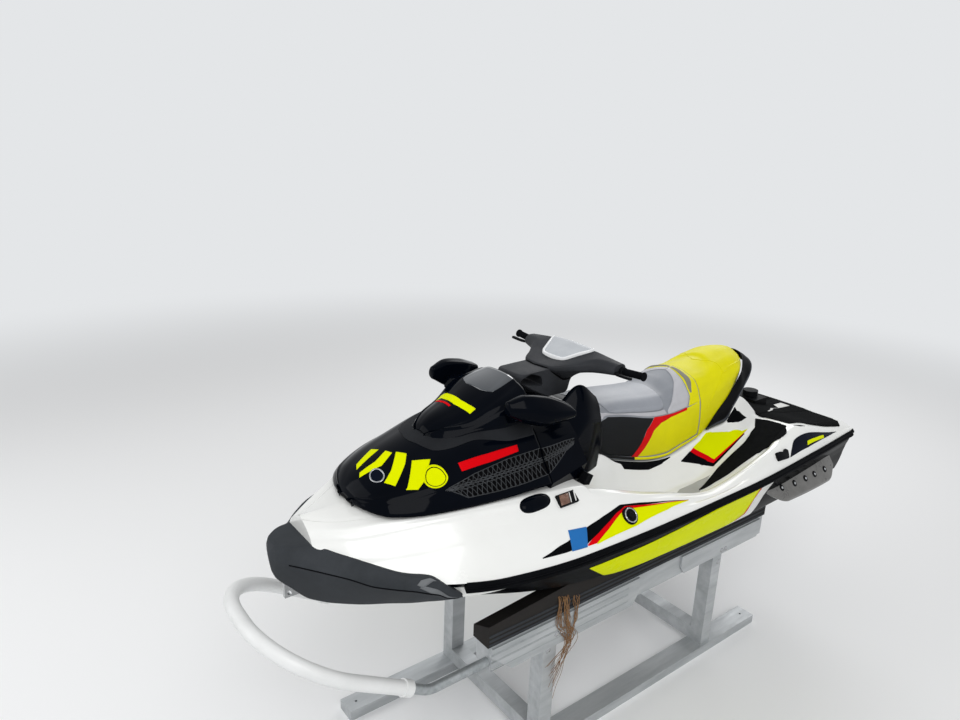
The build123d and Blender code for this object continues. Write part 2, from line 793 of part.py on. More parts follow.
hullFull = hullShape()
deckFull = deckShape() + pedestalShape()
well = wellCut()
bay = block(bayX[0], bayX[1], -bayHalf, bayHalf, bayFloor, 900)
tubHole = block(tubX[0], tubX[1], -tubHalf, tubHalf, tubFloor, 900)
recess = block(-60, recessLength, -recessHalf, recessHalf, -20, recessTop)
tunnelTop = 2 * jetZ - 14
tunnel = block(recessLength - 1, intakeX + 2, -tunnelHalf, tunnelHalf, -20, tunnelTop)
corners = [(intakeX, -20), (tunnelEndX, -20), (tunnelEndX, 30), (intakeX, tunnelTop)]
intake = profile(corners, -tunnelHalf, tunnelHalf)
shaftHole = rod((tunnelEndX - 200, 0, jetZ), (engineX[0] - 20, 0, jetZ), shaftRadius + 8)
pylonHole = rod((pylonX, 0, pylonFootZ - lidGap), (pylonX, 0, pylonTopZ), pylonPost + lidGap)
hull = biggest(hullFull - well - toStarboard(well) - bay - recess - tunnel - intake - shaftHole - pylonHole)
deck = biggest(deckFull - well - toStarboard(well) - bay - tubHole - pylonHole)
spine = block(*seatBaseX, -seatBaseHalf, seatBaseHalf, 0, wellTopZ + 200)

keep("hull", hull)
keep("deck", biggest(deck - spine))
keep("seat_base", biggest(deck & spine))
bumper = bumperShape(hullFull, deckFull)
keep("bow_bumper", bumper)
keep("rub_rail", railShape(hullFull, deckFull, bumper))
keep("sponsons", both(sponsonShape(hullFull)))
keep("footwell_mats", both(wellMat()))
mat = biggest(platformMat() - deck - pylonHole)
keep("platform_mat", mat)
tub = block(*tubX, -tubHalf, tubHalf, tubFloor, tubTopZ)
inside = tubHalf - tubWall
tub = tub - block(tubX[0] + tubWall, tubX[1] - tubWall, -inside, inside, tubFloor + tubWall, tubTopZ + 1)
keep("storage_tub", tub)
keep("engine", block(*engineX, -engineHalf, engineHalf, bayFloor, engineTop))

keep("pump_housing", pumpShape())
keep("ride_plate", block(60, intakeX, -tunnelHalf, tunnelHalf, 0, rideThick))
grate = block(intakeX, intakeX + grateEnd, -tunnelHalf, tunnelHalf, 0, grateEnd)
for y in grateY:
    grate = grate + block(intakeX, tunnelEndX, y - grateBarHalf, y + grateBarHalf, 0, grateEnd)
keep("intake_grate", grate + block(tunnelEndX - grateEnd, tunnelEndX, -tunnelHalf, tunnelHalf, 0, grateEnd))
keep("impeller", impellerShape())
keep("drive_shaft", rod((impellerX[1], 0, jetZ), (engineX[0] - 6, 0, jetZ), shaftRadius))
keep("jet_nozzle", nozzleShape())
keep("reverse_bucket", bucketShape())

knuckle = rod((hoodHingeX, -knuckleHalf, hoodHingeZ), (hoodHingeX, knuckleHalf, hoodHingeZ), hoodKnuckle)
hood = biggest(hoodShape() + knuckle - deckFull)
keep("hood", hood)
keep("wind_deflector", deflectorShape())
trim = trimShape()
keep("deflector_trim", trim)
keep("vent_meshes", both(biggest(meshShape(hoodTable, hoodVentX) - hood)))
mirrorPort = biggest(sideBody(mirrorTable) + sideBody(mirrorFootTable) - deflectorFilled() - trim)
keep("mirrors", both(mirrorPort))

grip = gripShape()
lever = leverShape()
cover = biggest(steeringCover() - grip - toStarboard(grip))
console = biggest(consoleShape() - deckFull)
keep("console", console)
keep("cowl_meshes", both(biggest(meshShape(cowlTable, cowlVentX) - console)))
keep("steering_cover", cover)
keep("bar_pad", barPad(cover))
keep("grips", both(grip))
keep("levers", both(biggest(lever - cover - grip)))

seatRings = []
for x, underY, sideY, sideZ, shoulderY, shoulderZ, centre in seatTable:
    if x in seatRearUnder:
        low = seatRearUnder[x]
    else:
        low = along(seatLine, x)[1] + (lidGap if x >= seatSplitX else seatRearGap)
    half = [(0, low), (underY, low), (sideY, sideZ), (shoulderY, shoulderZ), (0, centre)]
    seatRings.append((x, ring(x, half)))
knuckle = rod((seatHingeX, -knuckleHalf, seatHingeZ), (seatHingeX, knuckleHalf, seatHingeZ), seatKnuckle)
keep("seat_front", skin([shape for x, shape in seatRings if x >= seatSplitX]) + knuckle)
keep("seat_rear", skin([shape for x, shape in seatRings if x <= seatSplitX]))
seatSolid = nodes["seat_front"] + nodes["seat_rear"]
keep("grab_rail", biggest(hoopShape() - seatSolid))

solid = deckFull + hullFull + console
cap = Pos(*capAt) * Rot(capLean, 0, 0) * Cylinder(capRadius, capLength)
keep("deck_caps", both(biggest(cap - solid)))
for name, (centre, (leanX, leanY), size) in fittings.items():
    keep(name, both(biggest(Pos(*centre) * Rot(leanX, leanY, 0) * Box(*size) - solid)))
halfX, halfY, depth = pylonPlate
plate = block(pylonX - halfX, pylonX + halfX, -halfY, halfY, pylonPlateZ - depth, pylonPlateZ)
keep("pylon_plate", biggest(plate - deck - mat - pylonHole))
head = rod((pylonX, 0, pylonPlateZ + lidGap), (pylonX, 0, pylonTopZ), pylonHead)
keep("tow_pylon", rod((pylonX, 0, pylonFootZ), (pylonX, 0, pylonTopZ), pylonPost) + head)
eyeX, eyeY, eyeZ = bowEyeAt
aft, ahead, up = bowEyeArm
eye = block(eyeX - aft, eyeX + ahead, -eyeThick / 2, eyeThick / 2, eyeZ - bowEyeLow, eyeZ + up)
eye = eye - rod((eyeX, -eyeThick, eyeZ), (eyeX, eyeThick, eyeZ), eyeBore / 2)
keep("bow_eye", biggest(eye - bumper - hull))
eyeX, eyeY, eyeZ = sternEyeAt
half = sternEyeThick / 2
eye = block(eyeX - sternEyeSize, 0, eyeY - half, eyeY + half, eyeZ - sternEyeSize, eyeZ + sternEyeSize)
eye = eye - rod((eyeX, eyeY - sternEyeThick, eyeZ), (eyeX, eyeY + sternEyeThick, eyeZ), eyeBore / 2)
keep("stern_eyes", both(eye))

keep("bunk_pads", both(bunkPad(hullFull)))
loop = loopPipeShape()
beam = block(bunkRearX, bunkFrontX - 20, bunkInnerY, bunkOuterY, beamTopZ - beamDepth, beamTopZ) - loop
keep("bunk_beams", both(beam))
keep("side_plates", [piece for plate in sidePlates() for piece in both(plate)])
beamLowZ = beamTopZ - beamDepth
postY = (bunkOuterY - postSize, bunkOuterY)
posts = []
crosses = []
for x in postX:
    posts += both(block(x - postSize / 2, x + postSize / 2, *postY, postBottomZ, beamLowZ))
    half = crossSize / 2
    crosses.append(block(x - half, x + half, -postY[0], postY[0], postBottomZ, postBottomZ + crossSize))
keep("posts", posts)
keep("cross_beams", crosses)
skidY = (postY[0] + postY[1]) / 2
skid = block(skidRearX, skidFrontX, skidY - skidWide / 2, skidY + skidWide / 2, -keelHeight, postBottomZ)
for x in (skidRearX + 60, skidFrontX - 60):
    skid = skid - Pos(x, skidY, -keelHeight + skidHigh / 2) * Cylinder(anchorBore / 2, skidHigh + 2)
keep("skids", both(skid))
keep("bow_loop", loop)
keep("loop_sleeve", loopSleeveShape())
keep("loop_collars", both(collarShape()))

whole = Compound(list(nodes.values()))
box = whole.bounding_box()
shift = Vector(-(box.min.X + box.max.X) / 2, 0, -box.min.Z)
print("hood hinge", hoodHingeX, hoodHingeZ, "seat hinge", seatHingeX, seatHingeZ, "pylon rises", pylonRise)
print("shift", round(shift.X, 3), round(shift.Z, 3))
print("size", round(box.size.X, 1), round(box.size.Y, 1), round(box.size.Z, 1))

os.makedirs("parts", exist_ok=True)
for name, shape in nodes.items():
    export_step(shape.moved(Location((shift.X, 0, shift.Z))), f"parts/{name}.step")
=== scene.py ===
import bmesh
import bpy
import math
import numpy as np
from mathutils import Matrix, Vector


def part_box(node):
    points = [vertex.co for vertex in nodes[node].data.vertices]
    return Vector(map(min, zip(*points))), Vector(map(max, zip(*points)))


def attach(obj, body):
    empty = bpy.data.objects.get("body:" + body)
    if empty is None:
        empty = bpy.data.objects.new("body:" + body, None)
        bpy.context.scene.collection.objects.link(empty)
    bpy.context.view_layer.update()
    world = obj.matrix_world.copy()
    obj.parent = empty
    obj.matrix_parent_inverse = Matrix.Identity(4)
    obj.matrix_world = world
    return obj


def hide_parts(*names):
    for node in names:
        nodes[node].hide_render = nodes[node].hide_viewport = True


# Looks for a three-seat personal watercraft on its bunk cradle. Sizes are millimetres on the
# craft's own axes, x forward from the stern, y to port and z up from the keel, as in the CAD.
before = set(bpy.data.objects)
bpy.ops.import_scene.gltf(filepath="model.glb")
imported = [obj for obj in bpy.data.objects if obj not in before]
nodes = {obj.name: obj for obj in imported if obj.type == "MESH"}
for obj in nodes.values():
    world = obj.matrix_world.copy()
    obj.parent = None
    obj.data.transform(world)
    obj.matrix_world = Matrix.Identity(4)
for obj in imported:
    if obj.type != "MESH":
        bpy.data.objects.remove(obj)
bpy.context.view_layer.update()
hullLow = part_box("hull")[0]
craftZero = np.array([hullLow.x, 0, hullLow.z])
print("frame loaded")


# Numbers and meshes

def toRow(points):
    # craft millimetres to the frame's metres
    return np.asarray(points, float) / 1000 + craftZero


def ease(t):
    # 0 to 1 with level ends: 3t² - 2t³
    t = np.clip(t, 0, 1)
    return t * t * (3 - 2 * t)


def between(low, high, count):
    return np.linspace(low, high, count)


def blend(table, x):
    # Every column of the table runs through its stations on a cubic in x whose slope at a
    # station is the harmonic mean of its neighbours' slopes, or 0 at a turn: no overshoot.
    rows = np.array(sorted(table), float)
    places, values = rows[:, 0], rows[:, 1:]
    step = np.diff(places)[:, None]
    slope = np.diff(values, axis=0) / step
    same = slope[:-1] * slope[1:] > 0
    first, second = 2 * step[1:] + step[:-1], step[1:] + 2 * step[:-1]
    safe = np.where(same, slope[:-1], 1), np.where(same, slope[1:], 1)
    middle = np.where(same, (first + second) / (first / safe[0] + second / safe[1]), 0)
    tangent = np.vstack([slope[:1], middle, slope[-1:]])
    x = np.clip(np.atleast_1d(np.asarray(x, float)), places[0], places[-1])
    i = np.clip(np.searchsorted(places, x, "right") - 1, 0, len(places) - 2)
    h = step[i]
    t = (x - places[i])[:, None] / h
    return ((1 + 2 * t) * (1 - t) ** 2 * values[i] + t * (1 - t) ** 2 * h * tangent[i]
            + t * t * (3 - 2 * t) * values[i + 1] + t * t * (t - 1) * h * tangent[i + 1])


def stacked(points):
    # corners given one by one as columns of (y, z), as an array (n, corners, 2)
    return np.stack([np.stack(point, axis=1) for point in points], axis=1)


def roundCorners(corners, radii, bulges, steps, spans):
    # corners (n, k, 2): each inner corner becomes a parabola arc that starts its radius away,
    # and each side between arcs bows outwards by bulge * 4s(1 - s).
    count = corners.shape[1]
    side = np.diff(corners, axis=1)
    length = np.maximum(np.linalg.norm(side, axis=2), 1e-6)
    unit = side / length[:, :, None]
    cut = np.zeros(corners.shape[:2])
    for i in range(1, count - 1):
        cut[:, i] = np.minimum(radii[i], 0.48 * np.minimum(length[:, i - 1], length[:, i]))
    bow = np.broadcast_to(bulges, (count - 1,))
    share = between(0, 1, spans + 1)[None, :, None]
    turn = between(0, 1, steps + 1)[None, 1:-1, None]
    parts = []
    for i in range(count - 1):
        start = corners[:, i] + unit[:, i] * cut[:, i, None]
        end = corners[:, i + 1] - unit[:, i] * cut[:, i + 1, None]
        out = np.stack([unit[:, i, 1], -unit[:, i, 0]], axis=1)
        flat = start[:, None] + share * (end - start)[:, None]
        parts.append(flat + bow[i] * 4 * share * (1 - share) * out[:, None])
        if i < count - 2:
            after = corners[:, i + 1] + unit[:, i + 1] * cut[:, i + 1, None]
            corner = corners[:, i + 1]
            parts.append((1 - turn) ** 2 * end[:, None] + 2 * turn * (1 - turn) * corner[:, None]
                         + turn ** 2 * after[:, None])
    return np.concatenate(parts, axis=1)


def levelMiddle(profile, first, last):
    # The profile's last side, from the shoulder to the centre, rises by 2s - s² of the height
    # between them, s being the share of the way in, so that it crosses the centre level.
    start, end = profile[:, [first]], profile[:, [last]]
    s = 1 - profile[:, first:last + 1, 0] / np.maximum(start[..., 0], 1e-6)
    profile[:, first:last + 1, 1] = start[..., 1] + (end[..., 1] - start[..., 1]) * (2 * s - s * s)
    return profile


def mirrored(half):
    # port half from the bottom centre to the top centre, closed with its mirror image
    return np.concatenate([half, half[:, -2:0:-1] * [-1, 1]], axis=1)


def overMiddle(line):
    # a line or its table from port to the middle, carried on down the starboard side
    flip = np.ones(line.shape[-1])
    flip[1] = -1
    return np.concatenate([line, line[-2::-1] * flip])


def placed(x, section):
    # sections (n, m, 2) of (y, z) set at their x
    x = np.broadcast_to(np.asarray(x, float)[:, None, None], section.shape[:2] + (1,))
    return np.concatenate([x, section], axis=2)


def gridFaces(rows, columns, closed=False):
    i, j = np.meshgrid(np.arange(rows - 1), np.arange(columns if closed else columns - 1), indexing="ij")
    k = (j + 1) % columns
    low, high = i * columns, (i + 1) * columns
    return np.stack([low + j, low + k, high + k, high + j], axis=-1).reshape(-1, 4)


def addObject(name, data):
    made = bpy.data.objects.new(name, data)
    bpy.context.scene.collection.objects.link(made)
    return made


def addPiece(name, points, faces, look, body="craft", sharp=34, slot=None, replaces=(), facing=None):
    # facing: a direction that an open sheet's faces look towards; a closed shell looks outwards
    mesh = bpy.data.meshes.new(name)
    mesh.from_pydata(toRow(points).tolist(), [], [list(face) for face in faces])
    work = bmesh.new()
    work.from_mesh(mesh)
    bmesh.ops.remove_doubles(work, verts=work.verts, dist=2e-5)
    bmesh.ops.dissolve_degenerate(work, dist=1e-6, edges=work.edges)
    bmesh.ops.recalc_face_normals(work, faces=work.faces)
    if facing is not None:
        towards = Vector(facing)
        if sum(face.normal.dot(towards) * face.calc_area() for face in work.faces) < 0:
            bmesh.ops.reverse_faces(work, faces=work.faces)
    work.to_mesh(mesh)
    work.free()
    mesh.materials.append(look)
    mesh.polygons.foreach_set("use_smooth", [True] * len(mesh.polygons))
    mesh.set_sharp_from_angle(angle=math.radians(sharp))
    piece = addObject(name, mesh)
    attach(piece, body)
    if replaces:
        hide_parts(*replaces)
    return piece


def addBody(name, grid, look, **more):
    # a grid (n, m, 3) of closed rings with its two ends filled
    rows, columns = grid.shape[:2]
    faces = gridFaces(rows, columns, closed=True).tolist()
    faces += [list(range(columns)), list(range((rows - 1) * columns, rows * columns))]
    return addPiece(name, grid.reshape(-1, 3), faces, look, **more)


def addWall(piece, thick, even=False):
    # a wall of that many millimetres, inwards
    wall = piece.modifiers.new("wall", "SOLIDIFY")
    wall.thickness = thick / 1000
    wall.offset = -1
    wall.use_even_offset = even


def addSheet(name, grid, look, thick, **more):
    # an open grid with a wall
    faces = gridFaces(*grid.shape[:2]).tolist()
    addWall(addPiece(name, grid.reshape(-1, 3), faces, look, **more), thick, even=True)


def bakeMesh(piece, sharp=34):
    # the piece's modifiers, applied
    bpy.context.view_layer.update()
    solid = piece.evaluated_get(bpy.context.evaluated_depsgraph_get())
    made = bpy.data.meshes.new_from_object(solid)
    piece.modifiers.clear()
    old, piece.data = piece.data, made
    bpy.data.meshes.remove(old)
    made.set_sharp_from_angle(angle=math.radians(sharp))


def carve(piece, cutters, sharp=34):
    # cuts closed outlines, carried from one y to another, out of a piece
    tools = []
    for outline, low, high in cutters:
        outline = np.asarray(outline, float)
        ring = [np.insert(outline, 1, y, axis=1) for y in (low, high)]
        tool = addBody("cutter", np.stack(ring), piece.data.materials[0])
        cut = piece.modifiers.new("cut", "BOOLEAN")
        cut.object = tool
        cut.solver = "EXACT"
        tools.append(tool)
    bakeMesh(piece, sharp)
    for tool in tools:
        bpy.data.objects.remove(tool)


def boxOutline(x0, x1, z0, z1):
    return [(x0, z0), (x1, z0), (x1, z1), (x0, z1)]


# Materials

def fromHex(text):
    # sRGB hex to linear colour
    part = np.array([int(text[i:i + 2], 16) for i in (0, 2, 4)]) / 255
    linear = np.where(part <= 0.04045, part / 12.92, ((part + 0.055) / 1.055) ** 2.4)
    return (*linear.tolist(), 1.0)


def addNode(tree, kind, sockets=None, **settings):
    # one node: settings are its properties, sockets its inputs, each a value or another's output
    made = tree.nodes.new(kind)
    for key, value in settings.items():
        setattr(made, key, value)
    for key, value in (sockets or {}).items():
        if isinstance(value, bpy.types.NodeSocket):
            tree.links.new(value, made.inputs[key])
        else:
            made.inputs[key].default_value = value
    return made


def startMaterial(name):
    made = bpy.data.materials.new(name)
    made.use_nodes = True
    tree = made.node_tree
    tree.nodes.clear()
    place = addNode(tree, "ShaderNodeTexCoord").outputs["Object"]
    return made, tree, place


def endMaterial(made, tree, sockets):
    shader = addNode(tree, "ShaderNodeBsdfPrincipled", sockets)
    addNode(tree, "ShaderNodeOutputMaterial", {"Surface": shader.outputs[0]})
    made.diffuse_color = (0.5, 0.5, 0.5, 1)
    return made


def perMetre(size):
    # a pattern's scale in repeats a metre from its size in millimetres
    return 1000 / size


def mottled(name, colour, other, size, rough, grain=None, grainDepth=0.0, share=0.5, stretch=(1, 1, 1),
            specular=0.5, metallic=0.0, **more):
    # A colour that wanders to another over blotches of that size, with a fine grain in relief.
    # rough is (low, high); grain and grainDepth are millimetres.
    made, tree, place = startMaterial(name)
    where = addNode(tree, "ShaderNodeMapping", {"Vector": place, "Scale": stretch}).outputs[0]
    cloud = addNode(tree, "ShaderNodeTexNoise", {"Vector": where, "Scale": perMetre(size), "Detail": 6.0,
                                                 "Roughness": 0.6})
    level = addNode(tree, "ShaderNodeMapRange", {"Value": cloud.outputs["Fac"],
                                                 "From Min": 0.5 - share / 2, "From Max": 0.5 + share / 2})
    tint = addNode(tree, "ShaderNodeMix", {"Factor": level.outputs[0], "A": fromHex(colour),
                                           "B": fromHex(other)}, data_type="RGBA")
    gloss = addNode(tree, "ShaderNodeMapRange", {"Value": cloud.outputs["Fac"], "From Min": 0.3,
                                                 "From Max": 0.7, "To Min": rough[0], "To Max": rough[1]})
    sockets = {"Base Color": tint.outputs["Result"], "Roughness": gloss.outputs[0],
               "Specular IOR Level": specular, "Metallic": metallic}
    if grain:
        fine = addNode(tree, "ShaderNodeTexNoise", {"Vector": place, "Scale": perMetre(grain),
                                                    "Detail": 3.0})
        bump = addNode(tree, "ShaderNodeBump", {"Height": fine.outputs["Fac"], "Strength": 0.5,
                                                "Distance": grainDepth / 1000})
        sockets["Normal"] = bump.outputs[0]
    sockets.update(more)
    return endMaterial(made, tree, sockets)


finish = {
    # polished gelcoat over glass fibre: clear white, hard reflections, faint water marks
    "whiteGelcoat": mottled("gelcoatWhitePolished", "F2F3F1", "ECEDEA", 320, (0.16, 0.28),
                            **{"Coat Weight": 0.4, "Coat Roughness": 0.06}),
    # black gelcoat, chalked a little by salt water
    "blackGelcoat": mottled("gelcoatBlackPolished", "050608", "090A0D", 240, (0.16, 0.26), specular=0.01),
    # moulded and lacquered ABS panels: black with mirror gloss, the blue in its black a painted reflection
    # of the sky
    "glossBlack": mottled("absBlackLacquered", "02040A", "050911", 260, (0.05, 0.12), specular=0.04),
    # ABS with a fine etched mould texture: matt charcoal
    "charcoal": mottled("absCharcoalEtched", "1E1F22", "27292C", 120, (0.5, 0.66), 1.2, 0.12,
                        specular=0.05),
    # polypropylene fittings as they come from the mould
    "blackPlastic": mottled("polypropyleneBlackMoulded", "0C0D0F", "151618", 90, (0.4, 0.56), 1.5, 0.08,
                            specular=0.04),
    # thermoplastic elastomer of the bow guard: grey, dull, scuffed paler
    "bumperGrey": mottled("elastomerGreyMoulded", "2E3134", "3E4145", 140, (0.55, 0.75), 1.6, 0.2,
                          specular=0.08),
    "bumperPale": mottled("elastomerGreyWorn", "5A5D60", "6A6D70", 60, (0.5, 0.7), 1.6, 0.15),
    # extruded rubber of the rub rail
    "blackRubber": mottled("rubberBlackExtruded", "08090B", "131417", 110, (0.42, 0.58), 2.0, 0.1,
                           specular=0.01),
    # cast vinyl films: flat colour, soft gloss
    "filmYellow": mottled("vinylFilmYellow", "E4EE00", "DCE600", 200, (0.22, 0.32), specular=0.01),
    "filmRed": mottled("vinylFilmRed", "E00A14", "D20812", 200, (0.22, 0.32), specular=0.01),
    # the black film also lies on the pedestal under the seat's edge as painted shade
    "blackFilmAndShade": mottled("vinylFilmBlackAndPaintedShade", "08090B", "0D0E11", 200, (0.25, 0.35), specular=0.01),
    "filmBlue": mottled("vinylFilmBlue", "1B6FB8", "1765AA", 200, (0.25, 0.35), specular=0.25),
    "filmNavy": mottled("vinylFilmNavy", "0C1220", "0A0F1A", 200, (0.25, 0.35), specular=0.02),
    # the white film also draws a painted highlight on the platform mat
    "filmWhite": mottled("vinylFilmWhiteAndPaintedHighlight", "E9E9E6", "DDDDDA", 200, (0.25, 0.35)),
    # PVC-coated seat cloth: leather grain, satin
    "seatSilver": mottled("vinylSilverGrained", "80848B", "8C9097", 90, (0.36, 0.5), 2.2, 0.35),
    "seatPale": mottled("vinylPaleGrained", "B2B2B7", "BFBFC4", 90, (0.36, 0.5), 2.2, 0.35),
    "seatSilverLight": mottled("vinylSilverPadded", "8C9098", "989CA4", 90, (0.34, 0.48), 2.2, 0.3),
    "strapCloth": mottled("strapNylonGrey", "77756A", "8B897E", 30, (0.6, 0.8), 1.5, 0.3),
    "hoopGrey": mottled("polypropyleneGreySatin", "2F343C", "3B4048", 120, (0.36, 0.5), 1.6, 0.08,
                        specular=0.3),
    "seatYellow": mottled("vinylYellowGrained", "DCD600", "E6E004", 110, (0.4, 0.54), 2.2, 0.35,
                          specular=0.15),
    "seatBlack": mottled("vinylBlackGrained", "121315", "1B1D1F", 60, (0.5, 0.65), 3.0, 0.5,
                         specular=0.1),
    "seatRed": mottled("vinylRedGrained", "DC0810", "CB060E", 90, (0.4, 0.54), 2.2, 0.3, specular=0.1),
    # closed-cell foam deck mat, brushed: black, quite matt; where the footwell's mat runs up the well's
    # outer wall its black is painted shade
    "matFoamAndWallShade": mottled("foamMatBlackAndWallShade", "0E0F10", "191A1B", 35, (0.85, 0.95), 3.0, 0.9, specular=0.02),
    # a pale grey wedge on the well's floor ahead of the mat
    "floorWedgeGrey": mottled("greyWedgeTextured", "A9AAA8", "B5B6B4", 60, (0.6, 0.8), 1.5, 0.25),
    # painted shade: a near-black sheet under the moulded meshes' ribs, for the shade between them; also the
    # dark joint along the steering cover's seam
    "shadeAndJointBlack": mottled("paintedShadeAndJointBlack", "020203", "060607", 60, (0.75, 0.9), 1.5, 0.1,
                          specular=0.05),
    # stainless steel, polished
    "stainless": mottled("stainlessPolished", "B9BABB", "A4A6A8", 60, (0.16, 0.3), 8, 0.05, metallic=1.0),
    # sand-cast aluminium of the jet pump
    "castAlloy": mottled("aluminiumSandCast", "8D8F91", "75787B", 30, (0.42, 0.6), 2.5, 0.35,
                         metallic=1.0),
    # painted aluminium castings
    "engineBlock": mottled("aluminiumPaintedGrey", "3B3D40", "4A4C50", 60, (0.5, 0.65), 3.0, 0.3),
    # mill-finish aluminium extrusions left outdoors: dull, streaked along their length
    "cradleAlloy": mottled("aluminiumExtrudedWeathered", "C4C7C9", "A5A9AB", 60, (0.38, 0.6), 4.0, 0.12,
                           stretch=(0.15, 1, 1), metallic=0.55),
    # hot-dip galvanised pipe: grey with darker spangle
    "galvanised": mottled("steelHotDipGalvanised", "B4B8BA", "8E9496", 25, (0.4, 0.6), 6.0, 0.1,
                          metallic=0.6),
    # white PVC pipe, chalky, with green-grey grime
    "whitePvc": mottled("pvcWhiteExtruded", "F1F2F2", "DADCDB", 160, (0.34, 0.5), 20, 0.1, share=0.9),
    # smoked polycarbonate of the sponsons
    "smokePlastic": mottled("polycarbonateSmoked", "5C5B59", "757472", 70, (0.24, 0.4), 20, 0.2,
                            specular=0.35),
    # smoked acrylic in the deflector's top
    "windowSmoke": mottled("acrylicSmoked", "1A2129", "222A33", 160, (0.04, 0.08), 60, 0.05,
                           **{"Coat Weight": 1.0}),
    # polyurethane skins of the handlebar's pad and covers
    "barSilver": mottled("polyurethaneSilver", "B4B8BD", "C0C4C8", 80, (0.34, 0.48), 2.2, 0.2),
    "barWhite": mottled("polyurethaneWhite", "F0F1F2", "E4E6E8", 80, (0.28, 0.4), 2.2, 0.1),
    "barCover": mottled("polyurethaneCharcoal", "26272A", "303236", 90, (0.5, 0.64), 1.6, 0.15,
                        specular=0.15),
    # silvered glass with a brown tint
    "mirrorGlass": mottled("glassSilvered", "6B645E", "777069", 120, (0.04, 0.1), metallic=0.9),
    # the ribs of the moulded meshes, paler than black plastic: painted light on their tops
    "meshRibs": mottled("polypropyleneBlackLitRibs", "1E2022", "33363A", 30, (0.35, 0.5), 1.5, 0.08),
    # ribbed rubber covers of the bunks
    "bunkRubber": mottled("rubberBunkRibbed", "201E1D", "2E2B29", 60, (0.6, 0.8), 2.0, 0.2,
                          specular=0.15),
    # brown lens of the side vents, and weed dried on the cradle
    "lensBrown": mottled("polycarbonateBrown", "5A3A2E", "8C6A58", 40, (0.2, 0.35)),
    "driedWeed": mottled("weedDried", "6A4A2E", "8C6A45", 12, (0.7, 0.9), 3.0, 0.5),
}
print("materials made")

nodesOf = {    # finish: the CAD nodes that have it where they are shown as they are
    "blackGelcoat": "hull", "whiteGelcoat": "deck seat_base", "bumperGrey": "bow_bumper",
    "smokePlastic": "sponsons", "matFoamAndWallShade": "footwell_mats platform_mat", "engineBlock": "engine",
    "castAlloy": "pump_housing ride_plate intake_grate jet_nozzle reverse_bucket",
    "stainless": "impeller drive_shaft bow_eye stern_eyes", "charcoal": "deflector_trim",
    "glossBlack": "hood wind_deflector mirrors console", "barCover": "steering_cover",
    "barSilver": "bar_pad", "blackRubber": "rub_rail grips", "seatSilver": "seat_front",
    "seatYellow": "seat_rear", "bunkRubber": "bunk_pads", "galvanised": "bow_loop",
    "blackPlastic": "storage_tub vent_meshes cowl_meshes knee_panels levers grab_rail deck_caps cleats"
                    " side_vents stern_brackets pylon_plate tow_pylon",
    "cradleAlloy": "bunk_beams side_plates posts cross_beams skids",
    "whitePvc": "loop_sleeve loop_collars",
}
nodeFinish = {name: look for look, names in nodesOf.items() for name in names.split()}
for name, node in nodes.items():
    node.data.materials.clear()
    node.data.materials.append(finish[nodeFinish[name]])


# The craft's lines, as in the CAD

hullTable = [    # x, keel z, pad half-width, chine y, z, side knuckle y, z, rub rail y, z, split z
    (0, 0, 130, 440, 118, 478, 285, 505, 412, 330),
    (500, 0, 130, 480, 132, 525, 292, 555, 418, 330),
    (1300, 0, 130, 505, 142, 565, 300, 606, 420, 330),
    (1900, 0, 120, 500, 150, 565, 302, 611, 420, 330),
    (2400, 12, 90, 455, 185, 540, 318, 600, 422, 330),
    (2800, 62, 55, 365, 250, 470, 348, 548, 430, 330),
    (3100, 160, 30, 235, 322, 350, 392, 430, 448, 345),
    (3300, 275, 18, 130, 388, 215, 430, 285, 470, 400),
    (3410, 372, 12, 60, 430, 115, 470, 165, 494, 450),
]
deckTable = [    # x, crest y, z, inner edge y, z, centre z
    (0, 470, 438, 400, 448, 452),
    (300, 490, 486, 420, 494, 500),
    (620, 500, 544, 425, 552, 556),
    (1000, 545, 492, 500, 500, 500),
    (1500, 562, 438, 520, 436, 436),
    (1850, 540, 488, 455, 500, 500),
    (2350, 480, 566, 400, 628, 640),
    (2830, 388, 604, 345, 648, 655),
    (3140, 290, 572, 240, 636, 646),
    (3300, 205, 548, 150, 612, 632),
    (3410, 120, 540, 70, 600, 636),
]
wellTable = [    # x, floor z, inner y, outer y at the floor
    (640, 548, 262, 425),
    (1000, 430, 280, 460),
    (1361, 338, 292, 475),
    (2000, 338, 305, 450),
    (2235, 350, 310, 400),
]
seatLineTable = [    # x, line that the seat rests on, half-width of the pedestal's top
    (0, 452, 215), (640, 556, 215), (660, 584, 212), (815, 690, 196), (875, 618, 203),
    (925, 556, 205), (1080, 545, 205), (1180, 515, 215), (1440, 466, 215), (1830, 545, 205),
    (1965, 612, 205), (2000, 560, 225), (2235, 560, 262),
]
bowX = 3410
wellRear, wellFront, wellWall = 640, 2235, 30
lapIn, lapFoot = 46, 71    # how far in from the rail the lap of hull and deck starts and ends
bayX, bayHalf, bayFloor = (900, 1780), 160, 62    # engine bay
tubX, tubHalf, tubFloor = (2480, 3040), 190, 385    # front storage
recessLength, recessHalf, recessTop = 300, 250, 320    # round the nozzle
tunnelEndX, tunnelHalf, tunnelTop, intakeLength = 960, 118, 242, 262    # the jet's tunnel
hatchX = (wellFront, 2400)    # the hatch widens from the bay's width to the tub's


def railAt(x):
    table = blend(hullTable, x)
    return table[:, 6], table[:, 7]


def hullCorners(x):
    keel, pad, chineY, chineZ, sideY, sideZ, railY, railZ, split = blend(hullTable, x).T
    zero = 0 * keel
    return stacked([(zero, keel), (pad, keel), (chineY, chineZ), (sideY, sideZ), (railY, railZ),
                    (railY - lapIn, railZ), (np.minimum(railY - lapFoot, sideY), split), (zero, split)])


